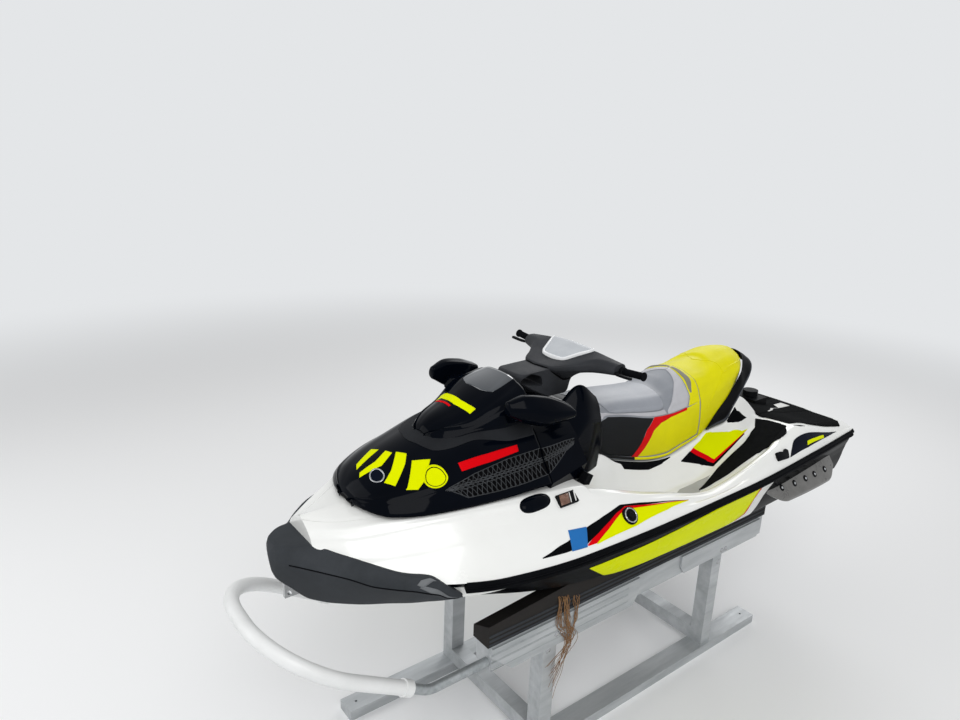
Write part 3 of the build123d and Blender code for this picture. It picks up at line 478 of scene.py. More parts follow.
def deckCorners(x):
    # rail, crest, inner edge, well's outer and inner floor edges, pedestal's edge, hatch edge, centre
    x = np.atleast_1d(np.asarray(x, float))
    railY, railZ = railAt(x)
    crestY, crestZ, innerY, innerZ, centre = blend(deckTable, x).T
    floor, wellIn, wellOut = blend(wellTable, x).T
    line, half = blend(seatLineTable, x).T
    hatch = np.interp(x, hatchX, (bayHalf, tubHalf))
    inWell = ease((wellFront + wellWall - x) / wellWall)

    def levelAt(y):
        return innerZ + (centre - innerZ) * (1 - np.clip(y / innerY, 0, 1))

    wellOut = np.where(x < wellRear, innerY - 8, wellOut)
    wellOut = inWell * wellOut + (1 - inWell) * (innerY - 20)
    wellIn = np.minimum(wellIn, innerY - 40)
    half = np.minimum(half, innerY - 60)
    hatch = np.minimum(hatch, innerY - 75)
    floor = np.where(x < wellRear, levelAt(wellOut), floor)
    outZ = inWell * floor + (1 - inWell) * levelAt(wellOut)
    inZ = inWell * floor + (1 - inWell) * levelAt(wellIn)
    return stacked([(railY, railZ), (crestY, crestZ), (innerY, innerZ), (wellOut, outZ), (wellIn, inZ),
                    (half, np.maximum(line, levelAt(half))), (hatch, np.maximum(line, levelAt(hatch)) + 1),
                    (0 * x, np.maximum(line, centre) + 2)])


stepsOf, spansOf = 6, 5    # points along each corner's arc and each side
hullRadii = [0, 10, 16, 26, 8, 0, 0, 0]
hullBulges = [0, 4, 3, 4, 0, 0, 0]
deckRadii = [0, 34, 26, 16, 26, 14, 4, 0]
deckBulges = [9, 3, 0, 0, -5, 0, 0]


def hullHalf(x):
    # the hull's rounded half section from the keel round to the middle of its top
    return roundCorners(hullCorners(x), hullRadii, hullBulges, stepsOf, spansOf)


def deckTop(x):
    # the deck's rounded half section from the rail to the centre
    return roundCorners(deckCorners(x), deckRadii, deckBulges, stepsOf, spansOf)


above, below = 900, -20    # cuts reach past the craft
bayCut = (boxOutline(*bayX, bayFloor, above), -bayHalf, bayHalf)
tubCut = (boxOutline(*tubX, tubFloor, above), -tubHalf, tubHalf)


def makeHull():
    x = np.unique(np.concatenate([between(0, bowX, 140), [row[0] for row in hullTable]]))
    piece = addBody("hullShell", placed(x, mirrored(hullHalf(x))), finish["blackGelcoat"], slot="hull",
                    replaces=["hull"])
    intakeX = tunnelEndX - intakeLength
    intake = [(intakeX, below), (tunnelEndX, below), (tunnelEndX, 30), (intakeX, tunnelTop)]
    carve(piece, [bayCut, (boxOutline(-60, recessLength, below, recessTop), -recessHalf, recessHalf),
                  (boxOutline(recessLength - 1, intakeX + 2, below, tunnelTop), -tunnelHalf, tunnelHalf),
                  (intake, -tunnelHalf, tunnelHalf)])


def makeDeck():
    edges = [wellRear, wellRear + 4, wellFront] + [row[0] for row in deckTable]
    wall = between(wellFront, wellFront + wellWall, 9)
    x = np.unique(np.concatenate([between(0, bowX, 170), wall, edges]))
    railY, railZ = railAt(x)
    split = blend(hullTable, x)[:, 8]
    under = stacked([(0 * x, split), (railY - lapFoot, split), (railY - lapIn, railZ)])
    half = np.concatenate([under, deckTop(x)], axis=1)
    piece = addBody("deckMoulding", placed(x, mirrored(half)), finish["whiteGelcoat"], slot="deck",
                    replaces=["deck", "seat_base"])
    carve(piece, [bayCut, tubCut])


makeHull()
makeDeck()
print("hull and deck made")


# Places on a lofted skin

def segment(i):
    # first and last index of a profile's side i, its arcs left out
    return i * (stepsOf + spansOf), i * (stepsOf + spansOf) + spansOf


def pointsOn(profile, x, v):
    # the skin's point where the section at x is read at the fractional index v
    x, v = np.asarray(x, float), np.asarray(v, float)
    section = profile(x.ravel())
    i = np.clip(np.floor(v.ravel()).astype(int), 0, section.shape[1] - 2)
    t = (v.ravel() - i)[:, None]
    row = np.arange(len(i))
    yz = section[row, i] * (1 - t) + section[row, i + 1] * t
    return np.concatenate([x.ravel()[:, None], yz], axis=1).reshape(*x.shape, 3)


def normalsOn(profile, x, v):
    # the unit vector across two short steps on the skin, outwards
    along = pointsOn(profile, x + 3, v) - pointsOn(profile, x - 3, v)
    up = pointsOn(profile, x, v + 0.4) - pointsOn(profile, x, v - 0.4)
    across = np.cross(up, along)
    return across / np.maximum(np.linalg.norm(across, axis=-1, keepdims=True), 1e-9)


def liftedOn(profile, place, lift):
    # places (..., 2) of x and profile index, that far off the skin
    x, v = place[..., 0], place[..., 1]
    return pointsOn(profile, x, v) + lift * normalsOn(profile, x, v)


def findOn(profile, x, value, by, first, last):
    # fractional index between first and last where the section's y (by 0) or z (by 1) is value
    x, value = np.asarray(x, float), np.asarray(value, float)
    key = profile(x.ravel())[:, first:last + 1, by]
    goal = value.ravel()
    if key[:, -1].mean() < key[:, 0].mean():
        key, goal = -key, -goal
    j = np.clip((key < goal[:, None]).sum(axis=1), 1, key.shape[1] - 1)
    row = np.arange(len(j))
    low, high = key[row, j - 1], key[row, j]
    t = np.clip((goal - low) / np.maximum(high - low, 1e-6), 0, 1)
    return (first + j - 1 + t).reshape(x.shape)


def alongLine(line, count):
    # points a line at even shares of its length
    line = np.asarray(line, float)
    reach = np.concatenate([[0], np.cumsum(np.linalg.norm(np.diff(line, axis=0), axis=1))])
    share = between(0, reach[-1], count)
    return np.stack([np.interp(share, reach, line[:, i]) for i in range(line.shape[1])], axis=1)


def betweenLines(low, high, columns, rows):
    # straight rungs between two lines, each walked at its own even pace
    low, high = alongLine(low, columns), alongLine(high, columns)
    t = between(0, 1, rows)[:, None, None]
    return low[None] * (1 - t) + high[None] * t


def facingFaces(points, faces, facing):
    # quads turned so that together they look along facing
    corner = points[faces]
    across = np.cross(corner[:, 2] - corner[:, 0], corner[:, 3] - corner[:, 1])
    return faces if (across.sum(axis=0) @ np.asarray(facing, float)) >= 0 else faces[:, ::-1]


def withMirror(points, faces):
    return (np.concatenate([points, points * [1, -1, 1]]),
            np.concatenate([faces, faces[:, ::-1] + len(points)]))


upAndOut = (0, 0.7, 0.7)    # where the port side's upper skins look


def addFilm(name, grid, look, facing=(0, 1, 0), thick=0.8, both=True, **more):
    # a thin skin (rows, columns, 3) with a wall inwards, on both sides of the craft
    points = grid.reshape(-1, 3)
    faces = facingFaces(points, gridFaces(*grid.shape[:2]), facing)
    if both:
        points, faces = withMirror(points, faces)
    piece = addPiece(name, points, faces, look, facing=facing, **more)
    addWall(piece, thick)
    return piece


def pathAxes(path, up=None):
    # unit directions square to a path at each of its points; where up is None, it is an axis
    # that the path doesn't follow
    way = np.gradient(path, axis=0)
    way /= np.linalg.norm(way, axis=1)[:, None]
    if up is None:
        up = (0, 0, 1) if abs(way[:, 2]).mean() < 0.8 else (1, 0, 0)
    side = np.cross(way, up)
    side /= np.linalg.norm(side, axis=1)[:, None]
    return side, np.cross(side, way)


def carryProfile(path, outline, up=(0, 0, 1)):
    # closed outline (side, up) set square to the path at each of its points
    path, outline = np.asarray(path, float), np.asarray(outline, float)
    side, top = pathAxes(path, up)
    across, over = outline[None, :, 0, None], outline[None, :, 1, None]
    return path[:, None] + across * side[:, None] + over * top[:, None]


def smoothLine(points, count):
    # a Catmull-Rom curve through the points
    points = np.asarray(points, float)
    points = np.concatenate([2 * points[:1] - points[1:2], points, 2 * points[-1:] - points[-2:-1]])
    u = between(0, len(points) - 3, count)
    i = np.clip(u.astype(int), 0, len(points) - 4)
    t = (u - i)[:, None]
    a, b, c, d = points[i], points[i + 1], points[i + 2], points[i + 3]
    square, cube = 2 * a - 5 * b + 4 * c - d, 3 * b - a - 3 * c + d
    return 0.5 * (2 * b + (c - a) * t + square * t ** 2 + cube * t ** 3)


def roundOutline(corners, radii, steps=6):
    # a closed outline, plane or not, whose corners become parabola arcs
    corners = np.asarray(corners, float)
    before, after = np.roll(corners, 1, axis=0), np.roll(corners, -1, axis=0)
    back, ahead = before - corners, after - corners
    backLength = np.linalg.norm(back, axis=1)
    aheadLength = np.linalg.norm(ahead, axis=1)
    cut = np.minimum(np.broadcast_to(radii, backLength.shape), 0.48 * np.minimum(backLength, aheadLength))
    start = corners + back / backLength[:, None] * cut[:, None]
    end = corners + ahead / aheadLength[:, None] * cut[:, None]
    t = between(0, 1, steps + 1)[None, :, None]
    arcs = (1 - t) ** 2 * start[:, None] + 2 * t * (1 - t) * corners[:, None] + t ** 2 * end[:, None]
    return arcs.reshape(-1, corners.shape[1])


def softRings(table, x, corners, radius):
    # closed outlines listed in a table's columns, their corners turned to arcs
    return np.stack([roundOutline(row.reshape(corners, 2), radius, 4) for row in blend(table, x)])


def addParts(name, grids, look, both=False, **more):
    # several closed bodies (n, m, 3) with filled ends as one piece
    points, faces, start = [], [], 0
    for grid in grids:
        rows, columns = grid.shape[:2]
        for turn in ((1, -1) if both else (1,)):
            points.append(grid.reshape(-1, 3) * [1, turn, 1])
            made = (gridFaces(rows, columns, closed=True) + start).tolist()
            made += [list(range(start, start + columns)),
                     list(range(start + (rows - 1) * columns, start + rows * columns))]
            faces += made
            start += rows * columns
    return addPiece(name, np.concatenate(points), faces, look, **more)


def barGrid(x0, x1, y0, y1, z0, z1, radius=3.0):
    # a box with rounded long edges, as rings along its longest side
    low, high = np.array([x0, y0, z0], float), np.array([x1, y1, z1], float)
    axis = int(np.argmax(high - low))
    others = [i for i in range(3) if i != axis]
    (a0, b0), (a1, b1) = low[others], high[others]
    ring = roundOutline([(a0, b0), (a1, b0), (a1, b1), (a0, b1)], radius, steps=3)
    inner = roundOutline([(a0 + radius, b0 + radius), (a1 - radius, b0 + radius), (a1 - radius, b1 - radius),
                          (a0 + radius, b1 - radius)], radius * 0.3, steps=3)
    grid = np.zeros((4, len(ring), 3))
    for i, (outline, place) in enumerate([(inner, low[axis]), (ring, low[axis] + radius),
                                          (ring, high[axis] - radius), (inner, high[axis])]):
        grid[i][:, others] = outline
        grid[i][:, axis] = place
    return grid


def tubeGrid(path, radius, sides=16):
    # circles square to the path; radius may change along it
    path = np.asarray(path, float)
    side, top = pathAxes(path)
    turn = between(0, 2 * np.pi, sides + 1)[:-1]
    radius = np.broadcast_to(radius, len(path))[:, None, None]
    return path[:, None] + radius * (np.cos(turn)[None, :, None] * side[:, None]
                                     + np.sin(turn)[None, :, None] * top[:, None])


# Bow guard and rub rail

bumperTable = [    # x, lower y, z, ridge y, z, top y, z, centre z above, centre z below
    (2945, 395, 318, 440, 336, 452, 360, 360, 318),
    (3030, 350, 300, 466, 384, 478, 440, 440, 300),
    (3081, 322, 296, 470, 420, 452, 478, 478, 296),
    (3162, 255, 285, 425, 440, 398, 490, 490, 285),
    (3262, 180, 276, 338, 446, 300, 520, 500, 262),
    (3340, 120, 278, 264, 470, 206, 540, 530, 270),
    (3402, 70, 290, 200, 482, 110, 556, 556, 284),
    (3470, 36, 350, 130, 494, 90, 560, 560, 344),
    (3520, 16, 405, 70, 500, 50, 560, 560, 400),
    (3540, 10, 452, 32, 508, 24, 556, 557, 448),
]
bumper = {
    "rear": 2945, "tip": 3540, "round": 12,
    "ridge": (2965, 3500), "ridgeRadius": 2.6,
    "chevrons": {    # two arms, each between a lower and an upper line of x and profile index
        "bowGuardChevronFront": ([(3074, 28), (3128, 23.8)], [(3094, 31.3), (3144, 24.6)]),
        "bowGuardChevronRear": ([(3138, 23.4), (3050, 19.5), (2962, 14.1)],
                                [(3125, 24.7), (3050, 23.4), (2971, 22)]),
    },
}


def bumperHalf(x):
    lowY, lowZ, outY, outZ, topY, topZ, centreTop, centreLow = blend(bumperTable, x).T
    corners = stacked([(0 * x, centreLow), (lowY, lowZ), (outY, outZ), (topY, topZ), (0 * x, centreTop)])
    return roundCorners(corners, [0, 16, 5, 9, 0], [0, 4, 5, 0], stepsOf, spansOf)


def makeBumper():
    tip, reach = bumper["tip"], bumper["round"]
    x = np.unique(np.concatenate([between(bumper["rear"], tip, 60), tip - 8 * between(0, 1, 6) ** 2]))
    half = bumperHalf(x)
    rounding = np.sqrt(np.clip((tip + 1 - x) / reach, 0.02, 1))[:, None, None]
    middle = half.mean(axis=1, keepdims=True) * [0, 1]
    half = middle + (half - middle) * np.where(x[:, None, None] > tip + 1 - reach, rounding, 1)
    addBody("bowGuard", placed(x, mirrored(half)), finish["bumperGrey"], slot="grey_bumper",
            replaces=["bow_bumper"], sharp=28)
    line = between(*bumper["ridge"], 60)
    ridge = np.full(60, segment(1)[1] + stepsOf / 2)
    path = liftedOn(bumperHalf, np.stack([line, ridge], axis=1), 0.6)
    addParts("bowGuardRidge", [tubeGrid(path, bumper["ridgeRadius"], 8)], finish["blackRubber"], both=True,
             slot="grey_bumper")
    for name, (low, high) in bumper["chevrons"].items():
        addFilm(name, liftedOn(bumperHalf, betweenLines(low, high, 30, 6), 1.2), finish["bumperPale"],
                slot="grey_bumper")


railProfile = [    # out and up from the hull's edge
    (-30, -38), (4, -41), (12, -36), (14, -25), (10, -21), (10, -17), (14, -13), (13, -2), (6, 3), (-30, 3),
]
railTip = 2962
railCorner = [(30, 6), (2, 8), (-9, -4), (-10, -26), (30, -26)]    # x and y from the hull's stern corner
railCap = [(-46, -4), (-42, 0), (4, 0), (8, -4)]    # its levels, and how far each is grown
railCapHalf = 30    # half the cap's size, which a level's growth is a share of
railStern = {"x": -1, "short": 14, "turn": 300, "thin": 0.64}    # short of the corners, and thinner


def makeRubRail():
    x = between(railTip, 4, 90)
    y, z = railAt(x)
    side = carryProfile(np.stack([x, y, z], axis=1), railProfile)
    cornerY, cornerZ = railAt(0.0)
    end, turn = cornerY[0] - railStern["short"], railStern["turn"]
    stern = smoothLine([(railStern["x"], y, cornerZ[0]) for y in (end, turn, 0, -turn, -end)], 24)
    back = carryProfile(stern, np.array(railProfile) * [railStern["thin"], 1])
    corner = np.array(railCorner, float) + [0, cornerY[0]]
    middle = corner.mean(axis=0)
    cap = []
    for level, grow in railCap:
        outline = roundOutline(middle + (corner - middle) * (1 + grow / railCapHalf), 8, 4)
        cap.append(np.insert(outline, 2, cornerZ[0] + level, axis=1))
    addParts("rubRail", [side, np.stack(cap)], finish["blackRubber"], both=True, slot="black_rubber",
             replaces=["rub_rail"])
    addParts("rubRailStern", [back], finish["blackRubber"], slot="black_rubber")


sponsonTable = [    # x and the port section's four corners, y and z; the inner edge is inside the hull
    (245, 450, 232, 536, 232, 542, 250, 495, 316),
    (335, 450, 176, 572, 178, 580, 206, 500, 328),
    (780, 450, 178, 584, 184, 592, 214, 505, 332),
    (1000, 470, 272, 546, 282, 552, 302, 515, 322),
]
sponsonBolt = {    # x of each, how far up the upper face, and steps outwards with the radius at each
    "places": (366, 487, 590, 708, 838), "rise": 0.42,
    "well": [(-12, 19), (0, 19), (2, 17.5), (3, 15)], "head": [(0, 8.5), (5, 8.5), (6, 7)],
}


def turnedGrid(spot, out, steps, sides):
    # a turned body: its radius at each step from the spot outwards
    return tubeGrid([spot + out * step for step, radius in steps], [radius for step, radius in steps], sides)


def makeSponsons():
    x = between(sponsonTable[0][0], sponsonTable[-1][0], 70)
    shell = placed(x, softRings(sponsonTable, x, 4, 9))
    wells, heads = [], []
    for place in sponsonBolt["places"]:
        corners = blend(sponsonTable, place)[0].reshape(4, 2)
        rise = corners[3] - corners[2]
        spot = np.array([place, *(corners[2] + sponsonBolt["rise"] * rise)])
        out = np.array([0, rise[1], -rise[0]]) / np.linalg.norm(rise)
        wells.append(turnedGrid(spot, out, sponsonBolt["well"], 24))
        heads.append(turnedGrid(spot, out, sponsonBolt["head"], 6))
    addParts("sponsonShells", [shell], finish["smokePlastic"], both=True, slot="smoke_plastic",
             replaces=["sponsons"])
    addParts("sponsonWells", wells, finish["blackPlastic"], both=True, slot="smoke_plastic")
    addParts("sponsonBolts", heads, finish["stainless"], both=True, slot="stainless")


makeBumper()
makeRubRail()
makeSponsons()
print("bow guard, rub rail and sponsons made")


# Hood, wind deflector and the trim between them

hoodTable = [    # x, low y, z, vent top y, z, shoulder y, z, centre z
    (3219, 40, 657, 34, 664, 22, 668, 670),
    (3205, 120, 656, 100, 680, 60, 696, 702),
    (3140, 238, 654, 212, 690, 130, 742, 758),
    (2915, 330, 656, 288, 728, 195, 812, 846),
    (2700, 364, 658, 306, 738, 230, 862, 902),
    (2440, 384, 664, 317, 751, 244, 878, 923),
]
cowlTable = [    # the fixed panel behind the hood, with the same columns
    (2434, 384, 664, 317, 751, 244, 878, 923),
    (2200, 352, 690, 292, 768, 215, 856, 880),
]
deflectorTable = [    # x, low y, z, upper y, z, top y, z, centre z
    (2864, 50, 852, 40, 860, 24, 866, 869),
    (2850, 90, 850, 70, 872, 40, 886, 892),
    (2690, 172, 880, 165, 905, 100, 952, 966),
    (2560, 218, 890, 210, 970, 120, 1020, 1030),
    (2440, 226, 900, 205, 1000, 90, 1062, 1066),
]
lidRear = 2440
hood = {"bend": 3140, "tip": 3219, "wall": 10, "hingeAt": (3212, 660), "hinge": [(58, 9), (60, 7)]}
deflector = {"bend": 2850, "tip": 2864, "wall": 9, "skirt": 45}
cove = {    # its sides run straight to the bend and close round the nose; it is wider from "from" on
    "bend": 2840, "nose": 28, "wide": 34, "wider": 26, "from": 2700, "over": 160, "wall": 12,
    "shares": (-0.15, 1.0, 9), "inside": 2500,
}


def openHalf(table, x, radii, bulges):
    # corners listed in the table's columns as y, z pairs, then the centre's z
    columns = blend(table, x)
    pairs = columns[:, :-1].reshape(len(columns), -1, 2)
    last = np.stack([np.zeros(len(columns)), columns[:, -1]], axis=1)[:, None]
    half = roundCorners(np.concatenate([pairs, last], axis=1), radii, bulges, stepsOf, spansOf)
    return levelMiddle(half, *segment(len(bulges) - 1))


def whole(half):
    # port half to centre and down the starboard side
    return np.concatenate([half, half[:, -2::-1] * [-1, 1]], axis=1)


def hoodSkin(x):
    return whole(openHalf(hoodTable, x, [0, 10, 60, 0], [2, 5, 0]))


def cowlSkin(x):
    return whole(openHalf(cowlTable, x, [0, 10, 60, 0], [2, 5, 0]))


def deflectorSkin(x):
    return whole(openHalf(deflectorTable, x, [0, 22, 34, 0], [2, 6, 0]))


def makeHood():
    bend, tip = hood["bend"], hood["tip"]
    x = np.unique(np.concatenate([between(lidRear, bend, 70), between(bend, tip, 26)]))
    addSheet("hoodPanel", placed(x, hoodSkin(x)), finish["glossBlack"], thick=hood["wall"],
             facing=(0, 0, 1), body="front_lid", slot="black_gloss", replaces=["hood"])
    x, z = hood["hingeAt"]
    ends = [(-y, r) for y, r in hood["hinge"][::-1]] + hood["hinge"]
    knuckle = tubeGrid([(x, y, z) for y, r in ends], [r for y, r in ends])
    addParts("hoodHinge", [knuckle], finish["blackPlastic"], body="front_lid", slot="black_plastic")


def makeDeflector():
    bend, tip = deflector["bend"], deflector["tip"]
    x = np.unique(np.concatenate([between(lidRear, bend, 60), between(bend, tip, 8)]))
    skin = deflectorSkin(x)
    down = [0, deflector["skirt"]]
    skin = np.concatenate([skin[:, [0]] - down, skin, skin[:, [-1]] - down], axis=1)
    addSheet("windDeflector", placed(x, skin), finish["glossBlack"], thick=deflector["wall"],
             facing=(0, 0, 1), body="front_lid", slot="black_gloss", replaces=["wind_deflector"])


def makeTrim():
    # a cove round the deflector's foot: from its low edge out to the hood's skin
    bend, nose, last = cove["bend"], cove["nose"], deflector["tip"] - 1
    turn = between(0, 1, 12)[1:] * np.pi / 2
    x = np.concatenate([between(lidRear + 2, bend, 40), bend + nose * np.sin(turn)])
    closing = np.sqrt(np.clip((bend + nose + 1 - x) / (nose + 1), 0, 1))
    y = blend(deflectorTable, np.minimum(x, last))[:, 0] * closing
    foot = overMiddle(np.stack([x, y], axis=1))
    way = np.gradient(foot, axis=0)
    out = np.stack([-way[:, 1], way[:, 0]], axis=1)
    out /= np.linalg.norm(out, axis=1)[:, None]
    out = np.where((out * (foot - [cove["inside"], 0])).sum(axis=1)[:, None] < 0, -out, out)
    wide = cove["wide"] + cove["wider"] * ease((foot[:, 0] - cove["from"]) / cove["over"])
    rows = []
    half = blend(deflectorTable, np.minimum(foot[:, 0], last))[:, 1]
    run = (0, hoodSkin(lidRear).shape[1] // 2)
    for share in between(*cove["shares"]):
        place = foot + out * (wide * share)[:, None]
        place[:, 0] = np.maximum(place[:, 0], lidRear + 1)
        v = findOn(hoodSkin, place[:, 0], np.abs(place[:, 1]), 0, *run)
        hoodZ = pointsOn(hoodSkin, place[:, 0], v)[:, 2]
        t = np.clip(share, 0, 1)
        z = (half + 4) * (1 - t) ** 2 + (hoodZ + 3) * (1 - (1 - t) ** 2)
        rows.append(np.concatenate([place, np.maximum(z, hoodZ + 2)[:, None]], axis=1))
    addFilm("deflectorCove", np.stack(rows), finish["charcoal"], facing=(0, 0, 1), thick=cove["wall"],
            both=False, body="front_lid", slot="charcoal", replaces=["deflector_trim"])


makeHood()
makeDeflector()
makeTrim()
print("hood and deflector made")


# Console behind the hood

consoleTable = [    # x, low y, side y, z, top y, z, centre z
    (2201, 250, 272, 765, 162, 905, 862),
    (2090, 247, 250, 835, 168, 984, 866),
    (1990, 220, 226, 812, 176, 914, 850),
]
console = {"low": 560, "rear": 1990, "front": 2201, "lap": 13}
cowl = {"rear": 2200, "front": 2434, "foot": 0.86}    # foot: its half-width at the bottom, as a share


def consoleHalf(x):
    lowY, sideY, sideZ, topY, topZ, centre = blend(consoleTable, x).T
    low = np.full(len(x), console["low"])
    corners = stacked([(0 * x, low), (lowY, low), (sideY, sideZ), (topY, topZ), (topY - 26, topZ - 10),
                       (topY - 46, centre), (0 * x, centre)])
    return roundCorners(corners, [0, 10, 30, 12, 10, 14, 0], [0, 6, 6, 0, 0, 0], stepsOf, spansOf)


def makeConsole():
    rear, front = console["rear"], console["front"]
    x = between(rear, front + console["lap"], 40)
    addBody("consoleShell", placed(x, mirrored(consoleHalf(np.clip(x, rear, front)))), finish["glossBlack"],
            slot="black_gloss", replaces=["console"], sharp=30)
    x = between(cowl["rear"], cowl["front"], 30)
    top = cowlSkin(x)
    under = np.stack([top[:, i] * [cowl["foot"], 0] + [0, console["low"]] for i in (-1, 0)], axis=1)
    addBody("cowlPanel", placed(x, np.concatenate([top, under], axis=1)), finish["glossBlack"],
            slot="black_gloss")


makeConsole()
print("console made")


# Steering cover, pad and grips

columnX, columnZ = 2030, 1100    # the column's top
coverTable = [    # y and seven corners of the upper cover's side outline, x and z from the column's top
    (-2, -68, 2, -46, 26, 80, -26, 195, -34, 205, -56, 60, -100, -58, -48),
    (82, -68, 2, -46, 27, 75, -14, 185, -32, 186, -50, 82, -108, -58, -46),
    (150, -68, 0, -46, 26, 50, -4, 105, -22, 104, -50, 44, -68, -56, -40),
    (220, -70, -4, -52, 17, 0, 10, 30, -10, 34, -38, 20, -54, -62, -42),
    (312, -80, -14, -68, 0, -30, 3, -8, -8, 0, -30, -10, -45, -70, -45),
]
neck = {    # side outline and the gap through it, from the column's top, half-width and its taper
    "outline": [(374, -44), (262, -40), (190, -38), (80, -30), (-52, 10), (-52, -50), (30, -115),
                (50, -188), (185, -188), (300, -132), (375, -85)],
    "hole": [(220, -120), (345, -92), (355, -68), (295, -48), (232, -70)],
    "holeReach": 150, "half": 84, "taper": 0.12,
    "seam": [(1992, 84, 1042), (2040, 85, 1010), (2110, 85, 990), (2160, 85, 1016), (2208, 82, 1050),
             (2228, 56, 1062), (2237, 0, 1062)], "seamRadius": 4,
}
padTable = [    # x, half-width, middle z, thickness
    (93, 76, -38, 30), (80, 88, -30, 44), (20, 120, -8, 46), (-38, 150, 10, 48), (-50, 130, 10, 32),
]
padRim = [    # the white strip round the pad, from the column's top
    (-42, 139, 27), (-20, 131, 20), (20, 110, 9), (64, 88, -6), (84, 76, -13), (94, 54, -17), (96, 0, -18),
]
padRimSection = [(9, -9), (-4, -9), (-2, 9), (9, 9)]
grip = {    # ends of the port grip, its axis, and its ribs
    "from": 306, "to": 437, "x": columnX - 55, "z": columnZ - 32,
    "radius": 15.6, "rib": 1.5, "pitch": 8.5, "collar": 6, "end": 3.5, "endLength": 16,
}
lever = [(22, -6, -2), (46, 12, -3), (52, 50, -2), (50, 100, -1)]    # from the grip's inner end
leverSection = [(-8, -6), (8, -6), (8, 6), (-8, 6)]
leverClamp = [(-10, 20), (-8, 23), (14, 23), (16, 20)]    # y from the grip's inner end, radius


def fromSides(sections, y):
    # sections (n, m, 2) of (x, z) from the column's top, each set at its y
    wide = np.broadcast_to(y[:, None], sections.shape[:2])
    return np.stack([columnX + sections[..., 0], wide, columnZ + sections[..., 1]], axis=-1)


def makeSteering():
    y = between(0, grip["from"], 60)
    port = fromSides(softRings(coverTable, y, 7, 11), y)
    grid = np.concatenate([port[:0:-1] * [1, -1, 1], port])
    addBody("barCover", grid, finish["barCover"], body="handlebar", slot="charcoal",
            replaces=["steering_cover"], sharp=40)
    outline = roundOutline(neck["outline"], 24, 8)
    middle = outline.mean(axis=0)
    y = neck["half"] * np.sin(between(-1, 1, 25) * np.pi / 2)
    shrink = 1 - neck["taper"] * np.abs(y / neck["half"]) ** 5
    ring = middle + (outline - middle)[None] * shrink[:, None, None]
    piece = addBody("steeringNeck", fromSides(ring, y), finish["barCover"], body="handlebar",
                    slot="charcoal", sharp=50)
    hole = roundOutline(np.array(neck["hole"]) + [columnX, columnZ], 14, 5)
    carve(piece, [(hole, -neck["holeReach"], neck["holeReach"])], sharp=50)
    seam = overMiddle(smoothLine(neck["seam"], 60))
    addParts("steeringGap", [tubeGrid(seam, neck["seamRadius"], 8)], finish["shadeAndJointBlack"], body="handlebar",
             slot="black_plastic")


def padHalf(x):
    half, middle, thick = blend(padTable, x).T
    low, high = middle - thick / 2, middle + thick / 2
    corners = stacked([(0 * x, low), (half, low), (half * 0.86, high), (0 * x, high + 6)])
    return roundCorners(corners, [0, 5, 14, 0], [0, 2, 0], stepsOf, spansOf)


def makePad():
    x = between(padTable[-1][0], padTable[0][0], 46)
    top = [columnX, 0, columnZ]
    pad = addBody("barPad", placed(x, mirrored(padHalf(x))) + top, finish["barSilver"], body="handlebar",
                  slot="silver_plastic", replaces=["bar_pad"], sharp=40)
    strip = carryProfile(overMiddle(smoothLine(padRim, 50) + top), roundOutline(padRimSection, 3, 3))
    addParts("barPadRim", [strip], finish["barWhite"], body="handlebar", slot="silver_plastic")


def makeGrips():
    start, end = grip["from"], grip["to"]
    y = between(start, end - 6, 64)
    share = (y - start) / (end - start)
    path = np.stack([grip["x"] - 10 * share, y, grip["z"] + 7 * share], axis=1)
    raised = np.sin(y * 2 * np.pi / grip["pitch"]) > -0.2
    knob = np.where(y > end - grip["endLength"], grip["end"], 0)
    ribs = grip["radius"] + grip["rib"] * raised + knob
    collar = grip["radius"] + grip["collar"] * np.exp(-((y - start - 5) / 5) ** 2)
    addParts("handGrips", [tubeGrid(path, np.maximum(ribs, collar), 24)], finish["blackRubber"], both=True,
             body="handlebar", slot="black_rubber", replaces=["grips"], sharp=50)
    foot = np.array([grip["x"], start, grip["z"]])
    blade = carryProfile(smoothLine(foot + lever, 24), roundOutline(leverSection, 4, 3))
    clamp = turnedGrid(foot - [0, 0, 1], np.array([0, 1, 0]), leverClamp, 24)
    addParts("leversAndClamps", [blade, clamp], finish["blackPlastic"], both=True, body="handlebar",
             slot="black_plastic", replaces=["levers"])


makeSteering()
makePad()
makeGrips()
print("steering made")


# Mirrors

mirrorTable = [    # x and six corners of the port shell, y and z
    (2340, 280, 902, 338, 914, 396, 952, 404, 976, 350, 1000, 285, 996),
    (2450, 260, 908, 345, 916, 384, 948, 388, 986, 322, 1042, 262, 1034),
    (2540, 258, 928, 318, 934, 346, 960, 348, 1008, 308, 1056, 258, 1048),
    (2624, 260, 984, 280, 976, 300, 986, 302, 1012, 286, 1036, 260, 1032),
]
mirror = {    # ends: shares of the first and last sections; lip and glass: of the rear rim, steps forward
    "ends": ([0.93, 0.975], [0.9, 0.7]),
    "lip": [(0.87, 2), (0.9, -6)], "glass": 0.865, "glassSteps": (-1, 4),
    "foot": [(196, 900), (262, 905), (262, 985), (196, 985)], "footX": (2445, 2560), "footRise": 25,
}


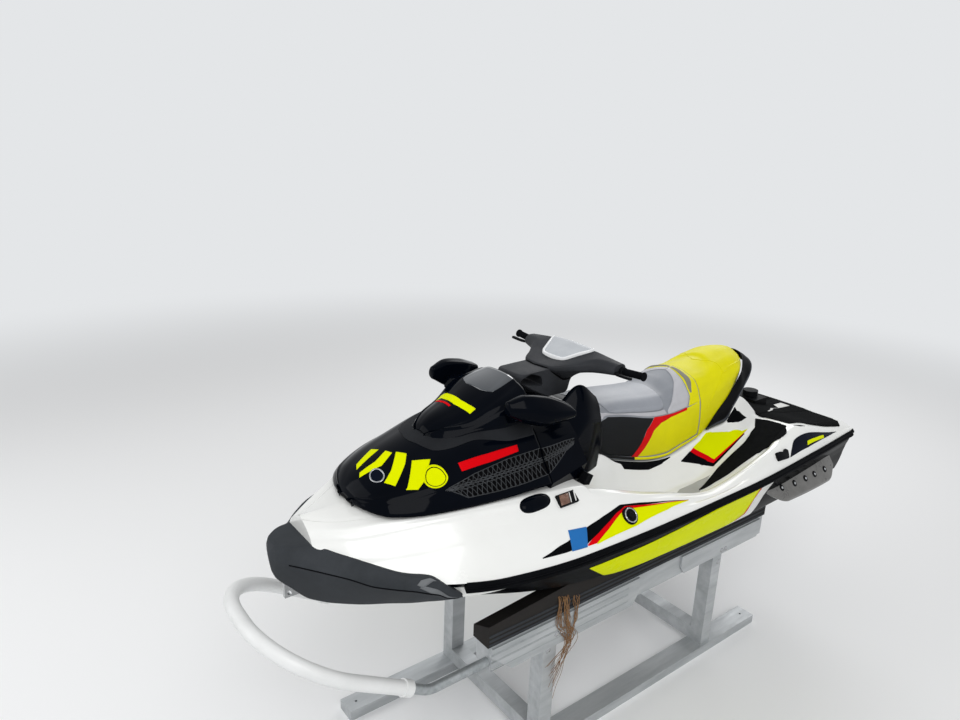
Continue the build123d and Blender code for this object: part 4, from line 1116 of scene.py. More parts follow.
def makeMirrors():
    rear, front = mirrorTable[0][0], mirrorTable[-1][0]
    x = np.concatenate([[rear, rear + 2], between(rear + 6, front - 6, 38), [front - 2, front]])
    ring = softRings(mirrorTable, x, 6, 16)
    centre = ring.mean(axis=1, keepdims=True)
    blunt, pointed = mirror["ends"]
    tight = np.concatenate([blunt, np.ones(len(x) - 4), pointed])[:, None, None]
    shell = placed(x, centre + (ring - centre) * tight)
    rim, middle = shell[2], shell[2].mean(axis=0)
    lip = [middle + (rim - middle) * share + [step, 0, 0] for share, step in mirror["lip"]]
    shell = np.concatenate([np.stack(lip), shell])
    sections = [np.array(mirror["foot"]) + [[0, 0], [0, mirror["footRise"] * share], [0, 0], [0, 0]]
                for share in between(0, 1, 12)]
    foot = placed(between(*mirror["footX"], 12), np.stack([roundOutline(part, 10, 4) for part in sections]))
    addParts("mirrorShells", [shell, foot], finish["glossBlack"], both=True, body="front_lid",
             slot="black_gloss", replaces=["mirrors"])
    glass = [middle + (rim - middle) * mirror["glass"] + [step, 0, 0] for step in mirror["glassSteps"]]
    addParts("mirrorGlasses", [np.stack(glass)], finish["mirrorGlass"], both=True, body="front_lid",
             slot="stainless")


makeMirrors()
print("mirrors made")


# The seat and its covers

seatTable = [    # x, underside z, half-width, side y, z, shoulder y, z, centre z
    (1968, 640, 178, 184, 752, 118, 812, 824),
    (1960, 617, 194, 200, 760, 128, 832, 842),
    (1830, 550, 197, 200, 745, 132, 826, 844),
    (1440, 471, 207, 208, 690, 140, 794, 817),
    (1330, 491, 207, 208, 705, 142, 820, 848),
    (1180, 520, 206, 206, 730, 138, 862, 890),
    (1080, 554, 196, 202, 762, 132, 872, 898),
    (925, 565, 172, 195, 818, 125, 902, 929),
    (815, 699, 140, 183, 850, 118, 916, 945),
    (740, 737, 110, 142, 856, 96, 912, 938),
    (680, 778, 70, 98, 850, 66, 896, 918),
    (640, 795, 40, 64, 843, 44, 878, 896),
    (622, 805, 24, 36, 838, 26, 862, 874),
]
seatSplit = 1180
seatEnds = (622.5, 1967)
seatGap = 1.5    # on either side of the split
seatDish = {    # the passenger's hollow: it fades out at its edge and before the split
    "x": 1110, "length": 158, "half": 158, "depth": 11, "edge": 0.22, "side": 40, "past": 50, "fade": 60,
}


def seatHalf(x):
    # underside edge, side, shoulder, centre, with the passenger's hollow pressed in
    lowZ, lowY, sideY, sideZ, shoulderY, shoulderZ, centre = blend(seatTable, x).T
    zero = 0 * lowZ
    corners = stacked([(zero, lowZ), (lowY, lowZ), (sideY, sideZ), (shoulderY, shoulderZ), (zero, centre)])
    half = roundCorners(corners, [0, 14, 46, 40, 0], [0, 5, 4, 0], stepsOf, spansOf)
    half = levelMiddle(half, *segment(3))
    top = half[:, segment(2)[0]:]
    x = np.asarray(x)[:, None]
    behind = np.maximum(seatDish["x"] - x, 0) / seatDish["length"]
    reach = np.hypot(behind, top[..., 0] / seatDish["half"])
    inside = ease((top[..., 1] - top[:, :1, 1]) / seatDish["side"])
    before = ease((seatSplit + seatDish["past"] - x) / seatDish["fade"])
    top[..., 1] -= seatDish["depth"] * ease((1 - reach) / seatDish["edge"]) * (inside * before)
    return half


def seatSkin(x):
    # index 0 is the port side's foot, seatTop the centre
    return whole(seatHalf(x)[:, segment(1)[0]:])


seatTop = segment(3)[1] - segment(1)[0]


def makeSeatCores():
    for name, node, low, high, colour, slot in (
            ("seatFrontCore", "seat_front", seatSplit + seatGap, seatEnds[1], "seatSilver", "seat_silver"),
            ("seatRearCore", "seat_rear", seatEnds[0], seatSplit - seatGap, "seatYellow", "seat_yellow")):
        x = between(low, high, 90)
        core = addBody(name, placed(x, mirrored(seatHalf(x))), finish[colour], body="seat", slot=slot,
                       replaces=[node])


def addPatch(name, low, high, colour, lift=0.8, puff=2.5, size=(70, 15), both=True, straight=False, **more):
    # A sewn panel between two lines of (x, index): it stands lift + puff (sin πs sin πt)^0.3 off
    # the seat, s and t being the shares along and across, and its edges tuck in.
    if not straight:
        low, high = smoothLine(low, 60), smoothLine(high, 60)
    across, along = between(0, np.pi, size[1])[:, None], between(0, np.pi, size[0])[None]
    crown = np.maximum(np.sin(across) * np.sin(along), 0) ** 0.3
    rise = np.where(crown > 0.02, lift + puff * crown, -1.0)
    grid = liftedOn(seatSkin, betweenLines(low, high, *size), rise[..., None])
    piece = addFilm(name, grid, finish[colour], facing=upAndOut if both else (0, 0, 1), thick=2.2,
                    both=both, body="seat", sharp=60, **more)


def addSeams(name, lines, colour, radius=1.3, lift=0.6):
    # piping of that radius along lines of (x, index) on the seat
    paths = [liftedOn(seatSkin, smoothLine(line, 70), lift) for line in lines]
    addParts(name, [tubeGrid(path, radius, 8) for path in paths], finish[colour], both=True, body="seat",
             sharp=80)


seatLines = {    # x and profile index on the port side, from the photo
    "saddleRear": [(1442, 26.7), (1437, 24.6), (1445, 21.6), (1452, 17.7), (1462, 14.2), (1490, 12.3)],
    "saddleSide": [(1490, 12.3), (1526, 12), (1664, 12), (1793, 12.2), (1850, 14), (1885, 19),
                   (1893, 26.7)],
    "paleFront": [(1256, 27), (1283, 23.7), (1330, 20.6), (1368, 17.7), (1398, 15.3), (1428, 12.5),
                  (1448, 9.6)],
    "paleRear": [(1228, 27), (1243, 23.8), (1261, 19.2), (1262, 14.3), (1264, 11.3), (1287, 9.0)],
    "strapFront": [(1224, 27), (1239, 22.2), (1253, 17.5), (1250, 13.4)],
    "strapRear": [(1203, 27), (1203, 23.5), (1213, 18), (1240, 13.6)],
    "blackTop": [(1553, 9.5), (1640, 9.7), (1732, 10.2), (1887, 10.8), (1944, 9.6), (1966, 7.6)],
    "blackLow": [(1690, 0.1), (1780, 0.1), (1840, 0.1), (1901, 0.1), (1966, 0.1)],
    "edgeLow": [(1446, 9.9), (1553, 9.8), (1640, 10.0), (1732, 10.5), (1887, 11.1), (1940, 9.4)],
    "edgeHigh": [(1462, 12.2), (1526, 11.8), (1664, 11.8), (1793, 12.0), (1865, 13.4), (1930, 17)],
    "redFront": [(1293, 9.0), (1347, 9.0), (1438, 9.6), (1553, 9.6), (1600, 6.4), (1634, 4.0),
                 (1675, 2.1), (1720, 0.2)],
    "redRear": [(1293, 7.9), (1365, 8.2), (1425, 8.4), (1506, 7.1), (1553, 5.2), (1597, 3.1), (1632, 1.6),
                (1671, 0.2)],
    "yellowRear": [(1181, 27), (1181, 20), (1181, 13), (1181, 8.4)],
    "yellowLow": [(1185, 0.3), (1300, 0.3), (1450, 0.3), (1600, 0.3), (1690, 0.3)],
    "yellowTop": [(1185, 9.0), (1290, 8.9), (1420, 8.9), (1530, 7.4), (1600, 4.6), (1690, 1.2)],
    "sideSeam": [(1262, 12), (1253, 7.7), (1253, 4.6), (1287, 3.2), (1327, 2.0), (1322, 0.3)],
    "backSeam": [(1024, 27), (1000, 24.6), (975, 22), (959, 19), (956, 15.3), (980, 10.4), (1057, 7.6),
                 (1120, 4)],
    "backRim": [(700, 27), (704, 22), (735, 16.4), (800, 13.4), (900, 12.2), (960, 12.6)],
}
seatPanels = {    # name: low line, high line, finish, slot, and how it is raised where that differs
    "seatPaleBand": ("paleRear", "paleFront", "seatPale", "seat_silver", {}),
    "seatPaleEdge": ("edgeLow", "edgeHigh", "seatPale", "seat_silver", {"lift": 0.5, "puff": 1.2}),
    "seatYellowTop": ("yellowRear", "paleRear", "seatYellow", "seat_yellow", {"lift": 0.2, "puff": 1.0}),
    "seatSideYellow": ("yellowLow", "yellowTop", "seatYellow", "seat_yellow",
                       {"lift": 0.4, "puff": 1.6, "straight": True}),
    "seatSideBlack": ("blackLow", "blackTop", "seatBlack", "seat_silver", {"straight": True}),
    "seatSideRed": ("redRear", "redFront", "seatRed", "seat_yellow",
                    {"lift": 1.6, "puff": 1.6, "straight": True}),
    "seatStrap": ("strapRear", "strapFront", "strapCloth", "seat_silver",
                  {"lift": 1.5, "puff": 3.5, "size": (40, 9)}),
}
seatHems = {    # thick rolled edges along the foot
    "seatHemYellow": ([[(1184, 0), (1300, 0), (1500, 0), (1692, 0)]], "seatYellow"),
    "seatHemBlack": ([[(1688, 0), (1800, 0), (1962, 0)], [(1961, 0), (1961, 3), (1961, 7.4)]], "seatBlack"),
}


def makeSeatCovers():
    line = seatLines
    saddle = line["saddleRear"] + line["saddleSide"][1:]
    across = [(x, 2 * seatTop - v) for x, v in saddle]
    addPatch("seatSaddle", saddle, across, "seatSilverLight", lift=0.6, puff=5.0, size=(100, 50), both=False,
             slot="seat_silver")
    for name, (low, high, colour, slot, more) in seatPanels.items():
        addPatch(name, line[low], line[high], colour, slot=slot, **more)
    addSeams("seatSeamsYellow", [line["sideSeam"], line["backSeam"], line["backRim"]], "seatYellow")
    addSeams("seatSeamsSilver", [saddle, line["paleFront"][:6]], "seatSilver")
    for name, (hems, colour) in seatHems.items():
        addSeams(name, hems, colour, radius=10, lift=-5.5)


makeSeatCores()
makeSeatCovers()
print("seat made")


# The grab hoop round the seat's back: a black band with a grey outer rim

hoopTable = [    # outer low, outer top and inner top corner, from the port foot to the middle
    ((1100, 214, 552), (1100, 213, 560), (1100, 208, 562)),
    ((1024, 212, 558), (1024, 211, 574), (1024, 202, 634)),
    ((925, 210, 566), (925, 209, 588), (925, 196, 706)),
    ((875, 209, 628), (870, 208, 650), (875, 192, 752)),
    ((815, 208, 700), (812, 207, 722), (815, 190, 828)),
    ((762, 197, 746), (758, 196, 770), (770, 168, 848)),
    ((704, 184, 792), (702, 183, 816), (722, 135, 872)),
    ((653, 152, 820), (651, 151, 846), (676, 98, 888)),
    ((621, 108, 838), (619, 107, 864), (648, 66, 896)),
    ((602, 50, 846), (600, 50, 874), (630, 32, 900)),
    ((597, 0, 848), (595, 0, 878), (624, 0, 902)),
]
hoopParts = {    # corners as a line with steps inwards and up, their rounding, finish, CAD nodes replaced
    "grabHoop": ([("rim", 2, 0), ("middle", -2, 2), ("top", 0, 0), ("top", 5, -3), ("low", 16, 6),
                  ("low", 10, 3)], 5, "blackPlastic", ["grab_rail"]),
    "grabHoopRim": ([("low", 3, 0), ("low", 12, 0), ("rim", 12, 4), ("rim", 2, 4), ("rim", 0, 0)],
                    4, "hoopGrey", []),
}


def makeHoop():
    line = overMiddle(np.array(hoopTable, float))
    low, rim, top = (smoothLine(line[:, i], 121) for i in range(3))
    inward = (top - rim) * [1, 1, 0]
    inward /= np.maximum(np.linalg.norm(inward, axis=1), 1)[:, None]
    lines = {"low": low, "rim": rim, "middle": rim * 0.5 + top * 0.5, "top": top}
    for name, (places, radius, colour, replaced) in hoopParts.items():
        corners = [lines[key] + inward * steps + np.array([0, 0, rise]) for key, steps, rise in places]
        rings = np.stack([roundOutline(part, radius, 3) for part in np.stack(corners, axis=1)])
        addParts(name, [rings], finish[colour], body="seat", slot="charcoal", replaces=replaced)


makeHoop()
print("grab hoop made")


# Films, mats and meshes laid on the skins: their lines are (x, profile index) from the photo

def addDecal(name, skin, low, high, colour, lift=0.9, size=(70, 9), facing=upAndOut, **more):
    grid = liftedOn(skin, betweenLines(low, high, *size), lift)
    addFilm(name, grid, finish[colour], facing=facing, **more)


def discLines(centre, along, up):
    # lower and upper halves of the outline centre + along cos + up sin
    turn = between(0, np.pi, 24)[:, None]
    centre, along, up = (np.array(part, float) for part in (centre, along, up))
    return (centre - (np.cos(turn) * along + np.sin(turn) * up),
            centre - (np.cos(turn) * along - np.sin(turn) * up))


def addRing(name, skin, disc, inner, outer, colour, lift, **more):
    # a band between two shares of a disc's outline
    turn = between(0, 2 * np.pi, 49)[None, :, None]
    share = between(inner, outer, 4)[:, None, None]
    centre, along, up = (np.array(part, float) for part in disc)
    place = centre + share * (np.cos(turn) * along + np.sin(turn) * up)
    addFilm(name, liftedOn(skin, place, lift), finish[colour], facing=upAndOut, both=False, **more)


meshRib = [(-2.6, -2.5), (2.6, -2.5), (0.9, 2.2), (-0.9, 2.2)]    # a rib's section


def addLattice(name, skin, low, high, cells, lean, **more):
    # A moulded mesh of ribs: two families lean either way across the patch between two lines,
    # and five more run along it.
    def ribAlong(s, t):
        s = np.clip(s, 0, 1)
        share = between(0, 1, 200)
        ends = [np.stack([np.interp(s, share, alongLine(line, 200)[:, i]) for i in (0, 1)], axis=1)
                for line in (low, high)]
        path = liftedOn(skin, ends[0] * (1 - t)[:, None] + ends[1] * t[:, None], 1.6)
        return carryProfile(path, meshRib, up=(0, 0.8, 0.6))

    ribs, t = [], between(0, 1, 7)
    for k in range(cells + 1):
        for way in (-1, 1):
            s = k / cells + way * lean * (t - 0.5)
            keep = (s > -0.001) & (s < 1.001)
            if keep.sum() > 2:
                ribs.append(ribAlong(s[keep], t[keep]))
    ribs += [ribAlong(between(0, 1, 40), np.full(40, level)) for level in between(0, 1, 5)]
    addParts(name, ribs, finish["meshRibs"], both=True, sharp=30, slot="black_plastic", **more)


hullFilms = {    # name: lower line, upper line, finish
    "hullBandYellow": ([(2321, 26.8), (2098, 19.3), (1312, 19.3), (1128, 23.6), (1116, 36)],
                       [(2323, 27), (2139, 30.1), (1920, 31.9), (1647, 33.9), (1360, 35.5), (1117, 36.4)],
                       "filmYellow"),
    "hullBandRed": ([(1312, 19.1), (1120, 23.2), (1096, 36.5)],
                    [(1312, 19.7), (1132, 23.6), (1113, 36.5)], "filmRed"),
    "hullBandWhite": ([(1312, 18.9), (1066, 18.9), (1039, 19.2), (1018, 26.2), (977, 36.6)],
                      [(1312, 19.3), (1120, 23.1), (1108, 29.5), (1097, 36.6)], "filmWhite"),
}
deckFilms = {    # name: lower line, upper line, finish, lift
    "deckWedgeBlack": ([(2631, 1.05), (2515, 1.05), (2405, 1.25), (2364, 1.8), (2323, 2.3), (2241, 3.6),
                        (2160, 5.2), (2118, 7), (2016, 6.9), (1866, 7.2), (1708, 6.8)],
                       [(2631, 1.15), (2583, 1.5), (2542, 1.9), (2494, 2.2), (2453, 2.6), (2412, 2.9),
                        (2371, 3.4), (2296, 4.1), (2221, 5), (2139, 7.8), (2016, 8.1), (1866, 7.7),
                        (1708, 6.9)], "blackFilmAndShade", 1.0),
    "deckWedgeRed": ([(2399, 1.05), (2351, 1.05), (2262, 2.5), (2166, 4.5), (2084, 5.9), (1859, 6.6),
                      (1708, 6.7)],
                     [(2402, 1.2), (2364, 1.8), (2323, 2.3), (2241, 3.6), (2160, 5.2), (2118, 7),
                      (2016, 6.9), (1797, 6.9), (1708, 6.8)], "filmRed", 1.6),
    "deckWedgeYellow": ([(2350, 0.9), (2300, 1.1), (2105, 1.8), (1886, 3.8), (1710, 6.6)],
                        [(2352, 1), (2262, 2.5), (2166, 4.5), (2084, 5.9), (1859, 6.6), (1710, 6.8)],
                        "filmYellow", 1.0),
    "deckLabelBlue": ([(2487, 1), (2405, 0.95)],
                      [(2467, 3.5), (2371, 3.5)], "filmBlue", 1.6),
    "kneeYellow": ([(1230, 48.5), (1210, 47.7), (1169, 46.1), (1134, 44.6), (1121, 43.7), (1107, 41.5),
                    (1018, 41.5), (923, 41.7), (786, 42)],
                   [(1230, 48.7), (1189, 49), (1165, 49.5), (1141, 50.6), (1107, 50.9), (1080, 49.4),
                    (1060, 48.8), (1025, 48.4), (977, 47.8), (936, 47), (902, 46), (868, 44.9),
                    (834, 43.9), (786, 42.1)], "filmYellow", 1.0),
    "kneeRed": ([(1257, 48.3), (1216, 46.6), (1175, 45), (1162, 44.4), (1141, 42.3), (1128, 39.9),
                 (1087, 40), (991, 40.6), (895, 41.2), (806, 41.9)],
                [(1230, 48.6), (1210, 47.8), (1169, 46.2), (1134, 44.7), (1121, 43.8), (1107, 41.6),
                 (1018, 41.6), (923, 41.8), (800, 42.1)], "filmRed", 1.6),
    "kneeBlack": ([(1339, 47.4), (1278, 46.1), (1216, 44.6), (1189, 43.4), (1162, 40.5), (1148, 38),
                   (1059, 38.6), (964, 39.6), (875, 40.4), (827, 40.8)],
                  [(1339, 47.6), (1257, 48.4), (1216, 46.7), (1175, 45.1), (1162, 44.5), (1141, 42.4),
                   (1128, 40), (1087, 40.1), (991, 40.7), (895, 41.3), (830, 41.8)], "blackFilmAndShade", 1.0),
    "pedestalTriangle": ([(923, 52.1), (909, 48.9), (882, 47.1), (847, 45.8), (820, 45.4), (772, 45.4)],
                         [(923, 52.2), (895, 51.9), (875, 50.8), (861, 49.9), (841, 47.7), (806, 46.4),
                          (772, 45.5)], "blackFilmAndShade", 1.0),
    "sternPanel": ([(834, 2.3), (731, 2.2), (615, 2), (499, 2.4), (369, 3.3), (212, 5.1)],
                   [(834, 2.5), (806, 3.7), (765, 4.8), (731, 6.2), (697, 6.4), (615, 6.2), (492, 5.9),
                    (349, 5.8), (212, 5.3)], "filmNavy", 1.0),
    "sternBarYellow": ([(622, 2.6), (519, 2.8), (410, 3.2)],
                       [(608, 3.6), (506, 3.8), (396, 4.4)], "filmYellow", 1.6),
    "sternCleatMark": ([(612, 14.2), (574, 11.2), (524, 10.6)],
                       [(612, 14.4), (574, 13), (524, 10.8)], "blackFilmAndShade", 1.0),
    # painted shade: a black film on the pedestal's top edge, under the seat's side
    "shadeUnderSeat": ([(1872, 52.2), (1784, 48.3), (1599, 48), (1483, 48.8), (1408, 51.8)],
                   [(1872, 54), (1784, 53.6), (1599, 53.4), (1483, 53.4), (1408, 53)], "blackFilmAndShade", 1.0),
}
matFilms = {    # name: lower line, upper line, finish, thickness, CAD nodes that it replaces
    # the mat on the well's floor, carried up over the well's outer wall and its top edge, where its black is
    # painted shade
    "footwellMatsAndWallShade": ([(642, 33.2), (670, 18), (704, 14.4), (738, 12), (779, 13), (813, 16.4), (845, 19.4),
                      (862, 24), (864, 29), (880, 32.4), (936, 33.4), (1059, 34), (1155, 34.4),
                      (1251, 35), (1376, 35.2)],
                     [(643, 34.4), (650, 37), (672, 41), (697, 43.8), (718, 41.4), (745, 38.8),
                      (820, 37.7), (888, 37.3), (1018, 37.2), (1148, 37), (1251, 36.4), (1376, 35.4)],
                     "matFoamAndWallShade", 5, ["footwell_mats"]),
    # a pale grey wedge on the well's floor ahead of the mat
    "wellFloorGrey": ([(1382, 35), (1480, 33.4), (1600, 33.3), (1740, 33.4)],
                      [(1216, 37), (1305, 37.6), (1456, 37.6), (1740, 33.8)], "floorWedgeGrey", 1.2, []),
    "platformMat": ([(660, 44.6), (622, 35.2), (478, 12.9), (300, 9.6), (123, 7.9), (66, 13), (44, 40),
                     (40, 71)],
                    [(660, 71), (500, 71), (300, 71), (150, 71), (60, 71), (42, 71)],
                    "matFoamAndWallShade", 5, ["platform_mat"]),
}
# painted highlight: a white curve on the platform mat
platformHighlight = ([(508, 49.4), (376, 58.6), (239, 66), (110, 66.6)],
                [(520, 50.6), (386, 60.2), (244, 67.8), (112, 68.6)])


def makeFilms():
    for name, (low, high, colour) in hullFilms.items():
        addDecal(name, hullHalf, low, high, colour, size=(90, 14), lift=1.0, facing=(0, 1, 0), slot="hull")
    for name, (low, high, colour, lift) in deckFilms.items():
        addDecal(name, deckTop, low, high, colour, size=(80, 16), lift=lift, slot="deck")
    for name, (low, high, colour, thick, replaced) in matFilms.items():
        addDecal(name, deckTop, low, high, colour, size=(80, 26), lift=thick, thick=thick + 0.6,
                 slot="mat_foam", facing=(0, 0, 1), sharp=40, replaces=replaced)
    # the platform's painted highlight, as a white film
    addDecal("platformLineCurved", deckTop, *platformHighlight, "filmWhite", size=(40, 4), lift=6.2,
             facing=(0, 0, 1), slot="mat_foam")


lidBars = {    # bars on the hood: name, lower line, upper line
    "hoodBarNear": ([(3087, 17.3), (2975, 23.9)], [(3114, 19.3), (3001, 25.5)]),
    "hoodBarOuter": ([(3022, 13.6), (2917, 20.4)], [(3061, 15.2), (2978, 22.1)]),
    "hoodStroke": ([(3165, 25), (3080, 24.2), (3014, 25.8)], [(3152, 26.6), (3085, 26.3), (3024, 27.4)]),
    "hoodStrokeFar": ([(3150, 28.4), (3035, 29)], [(3134, 30.2), (3046, 31)]),
}
lidRedBar = ([(2831, 14.5), (2694, 14.2), (2551, 14.6)], [(2831, 17), (2694, 16.5), (2546, 16.4)])
lidDisc = ((2939, 15.4), (43, 1.4), (-21.5, 3.35))    # centre, and the outline's two half axes
lidBadge = ((3117, 22.3), (19.5, 1.1), (-15.5, 1.95))
deflectorFilms = {    # name: lower line, upper line, finish, size, lift
    "deflectorBarYellow": ([(2698, 38), (2690, 34.8), (2702, 25.5), (2686, 17.6)],
                           [(2664, 38), (2658, 34.4), (2670, 25.2), (2657, 18.1)],
                           "filmYellow", (40, 8), 0.9),
    "deflectorBarRed": ([(2712, 37), (2716, 31), (2724, 26)], [(2702, 37), (2706, 31), (2714, 26)],
                        "filmRed", (20, 4), 0.9),
    "deflectorWindow": ([(2566, 34), (2590, 30), (2590, 24), (2566, 20)],
                        [(2444, 36), (2444, 31), (2444, 23), (2444, 18)], "windowSmoke", (40, 20), 1.4),
}
meshPanels = {    # name: skin, lower line, upper line, cells, lean, body, CAD node that it replaces
    "hoodMesh": (hoodSkin, [(2898, 5), (2839, 2.4), (2705, 2), (2568, 1.9), (2444, 2.2)],
                 [(2925, 8), (2890, 11), (2785, 12.6), (2616, 13.6), (2444, 13.6)],
                 20, 0.17, "front_lid", "vent_meshes"),
    "cowlMesh": (cowlSkin, [(2434, 2.3), (2378, 3.2), (2304, 4.8), (2240, 8.4)],
                 [(2434, 13.4), (2371, 13.1), (2281, 13), (2225, 12.4)],
                 10, 0.35, "craft", "cowl_meshes"),
}


def makeHoodFilms():
    lid = {"body": "front_lid", "slot": "black_gloss"}
    one = {**lid, "both": False}
    for name, (low, high) in lidBars.items():
        addDecal(name, hoodSkin, low, high, "filmYellow", size=(40, 12), **one)
    addDecal("hoodDisc", hoodSkin, *discLines(*lidDisc), "filmYellow", size=(40, 14), **one)
    addRing("hoodDiscRing", hoodSkin, lidDisc, 0.78, 0.84, "blackFilmAndShade", 1.5, **lid)
    addDecal("hoodBadge", hoodSkin, *discLines(*lidBadge), "filmNavy", size=(30, 10), lift=1.6, **one)
    addRing("hoodBadgeRing", hoodSkin, lidBadge, 0.86, 1.04, "stainless", 2.6, thick=2.0, **lid)
    addDecal("hoodBarRed", hoodSkin, *lidRedBar, "filmRed", size=(40, 8), **lid)
    for name, (low, high, colour, size, lift) in deflectorFilms.items():
        addDecal(name, deflectorSkin, low, high, colour, size=size, lift=lift, facing=(0, 0, 1), **one)
    for name, (skin, low, high, cells, lean, body, node) in meshPanels.items():
        # the near-black ground under each mesh's ribs is painted shade
        addDecal(name + "Ground", skin, low, high, "shadeAndJointBlack", size=(60, 12), lift=0.7, body=body,
                 slot="black_plastic", facing=(0, 1, 0))
        addLattice(name + "Ribs", skin, low, high, cells, lean, body=body, replaces=[node])


def leaningAxes(lean):
    # down the side and square off it, for a face that leans back by that many degrees
    turn = math.radians(lean)
    down = np.array([0, math.cos(turn), -math.sin(turn)])
    return down, np.array([0, math.sin(turn), math.cos(turn)])


def podGrid(centre, lean, size, power=2.6):
    # A rounded pod: at the share u of its half length its section is an ellipse of
    # (1 - |u|^power)^(1/power), leaning about the length by lean degrees.
    u = np.sin(between(-1, 1, 31) * np.pi / 2) * 0.999
    turn = between(0, 2 * np.pi, 33)[:-1]
    down, out = leaningAxes(lean)
    wide = ((1 - np.abs(u) ** power) ** (1 / power))[:, None, None]
    ellipse = np.cos(turn)[None, :, None] * size[1] * down + np.sin(turn)[None, :, None] * size[2] * out
    return np.array(centre) + u[:, None, None] * size[0] * np.array([1, 0, 0]) + wide * ellipse


bowCleat = {"centre": (2552, 403, 612), "lean": 40, "size": (82, 37, 27)}
sideVent = {
    "centre": (2400, 432, 598), "lean": 38, "top": 19.5, "shear": 0.35, "half": 22,
    "parts": {    # x from the centre, finish
        "sideVentPanel": (-8, 44, "lensBrown"),
        "sideVentLine": (-16, -12, "filmWhite"),
        "sideVentSlot": (-44, -38, "filmWhite"),
    },
}
sternBracket = {    # x and profile index
    "outline": [(946, 8.2), (962, 3.6), (856, 2.4), (834, 4.6), (858, 6.4), (884, 5), (906, 6.8)],
    "thick": 12, "shrink": 0.9, "bevel": 3,
}
deckCap = {    # the ring's tube, and the knob's steps outwards with the radius at each
    "centre": (2120, 562.5, 500), "lean": 48, "radius": 31, "tube": 3.4,
    "knob": [(-6, 15), (0, 15), (5, 13), (7, 10)],
}


def makeSideVents():
    down, out = leaningAxes(sideVent["lean"])
    middle = np.array(sideVent["centre"]) + out * sideVent["top"]
    half, shear = sideVent["half"], sideVent["shear"]
    for name, (low, high, colour) in sideVent["parts"].items():
        rows = [[middle + down * s + [x + shear * s, 0, 0] for x in between(low, high, 5)]
                for s in between(-half, half, 5)]
        addFilm(name, np.array(rows), finish[colour], facing=(0, 0.6, 0.8), thick=2.0, slot="black_plastic")


def makeFittings():
    addParts("bowCleats", [podGrid(bowCleat["centre"], bowCleat["lean"], bowCleat["size"])],
             finish["glossBlack"], both=True, slot="black_plastic", replaces=["cleats"], sharp=60)
    makeSideVents()
    outline = np.array(sternBracket["outline"], float)
    base = roundOutline(liftedOn(deckTop, outline, 0), 9, 4)
    out = normalsOn(deckTop, outline[:, 0], outline[:, 1]).mean(axis=0)
    out /= np.linalg.norm(out)
    thick, middle = sternBracket["thick"], base.mean(axis=0)
    top = middle + (base - middle) * sternBracket["shrink"] + out * thick
    rings = np.stack([base - out * 2, base + out * (thick - sternBracket["bevel"]), top])
    addParts("sternBrackets", [rings], finish["blackPlastic"], both=True, slot="black_plastic",
             replaces=["stern_brackets"])
    down, out = leaningAxes(deckCap["lean"])
    turn = between(0, 2 * np.pi, 41)[:, None]
    middle = np.array(deckCap["centre"])
    circle = middle + deckCap["radius"] * (np.cos(turn) * [1, 0, 0] + np.sin(turn) * down)
    addParts("deckCapRings", [tubeGrid(circle, deckCap["tube"], 10)], finish["stainless"], both=True,
             slot="stainless")
    addParts("deckCapKnobs", [turnedGrid(middle, out, deckCap["knob"], 20)], finish["blackPlastic"],
             both=True, slot="black_plastic")


makeFilms()
makeHoodFilms()
makeFittings()
print("films, mats, meshes and fittings made")


# The cradle's details

bunk = {"rear": 684, "front": 2756, "face": 396, "ribs": (-14, 8, 30), "ribHeight": 13}
plate = {"rear": 1880, "front": 2750, "face": 408, "grooves": (-52, -58, -88, -94, -132)}
cradleBolt = {    # x and z of each, and the face behind it; steps outwards with the radius at each
    "places": [(2364, -109, plate["face"]), (2330, -109, plate["face"]), (1098, -109, plate["face"]),
               (1064, -109, plate["face"]), (2402, -190, bunk["face"]), (1098, -190, bunk["face"])],
    "steps": [(-3, 15), (1, 15), (6, 9), (7, 7)],
}
weed = {
    "strands": 26, "seed": 7, "top": (2215, 2375), "knot": (2290, 417, -175), "knotSpread": (30, 1.5, 30),
    "foot": (2372, 411, -318), "footSpread": (20, 1.5, 60), "radius": 1.7,
}


def makeCradleDetails():
    # ribs along the bunks' covers and grooves along the beams, each a thin bar on its face
    face = bunk["face"]
    ribs = [barGrid(bunk["rear"], bunk["front"], face - 4, face + 3, z, z + bunk["ribHeight"], 2.5)
            for z in bunk["ribs"]]
    addParts("bunkRibs", ribs, finish["bumperGrey"], both=True, slot="black_rubber")
    face = plate["face"]
    grooves = [barGrid(plate["rear"], plate["front"], face - 2, face + 0.8, z, z + 2.6, 0.4)
               for z in plate["grooves"]]
    addParts("beamGrooves", grooves, finish["galvanised"], both=True, slot="cradle_alloy")
    bolts = [turnedGrid(np.array([x, y, z]), np.array([0, 1, 0]), cradleBolt["steps"], 6)
             for x, z, y in cradleBolt["places"]]
    addParts("cradleBolts", bolts, finish["stainless"], both=True, slot="galvanised")


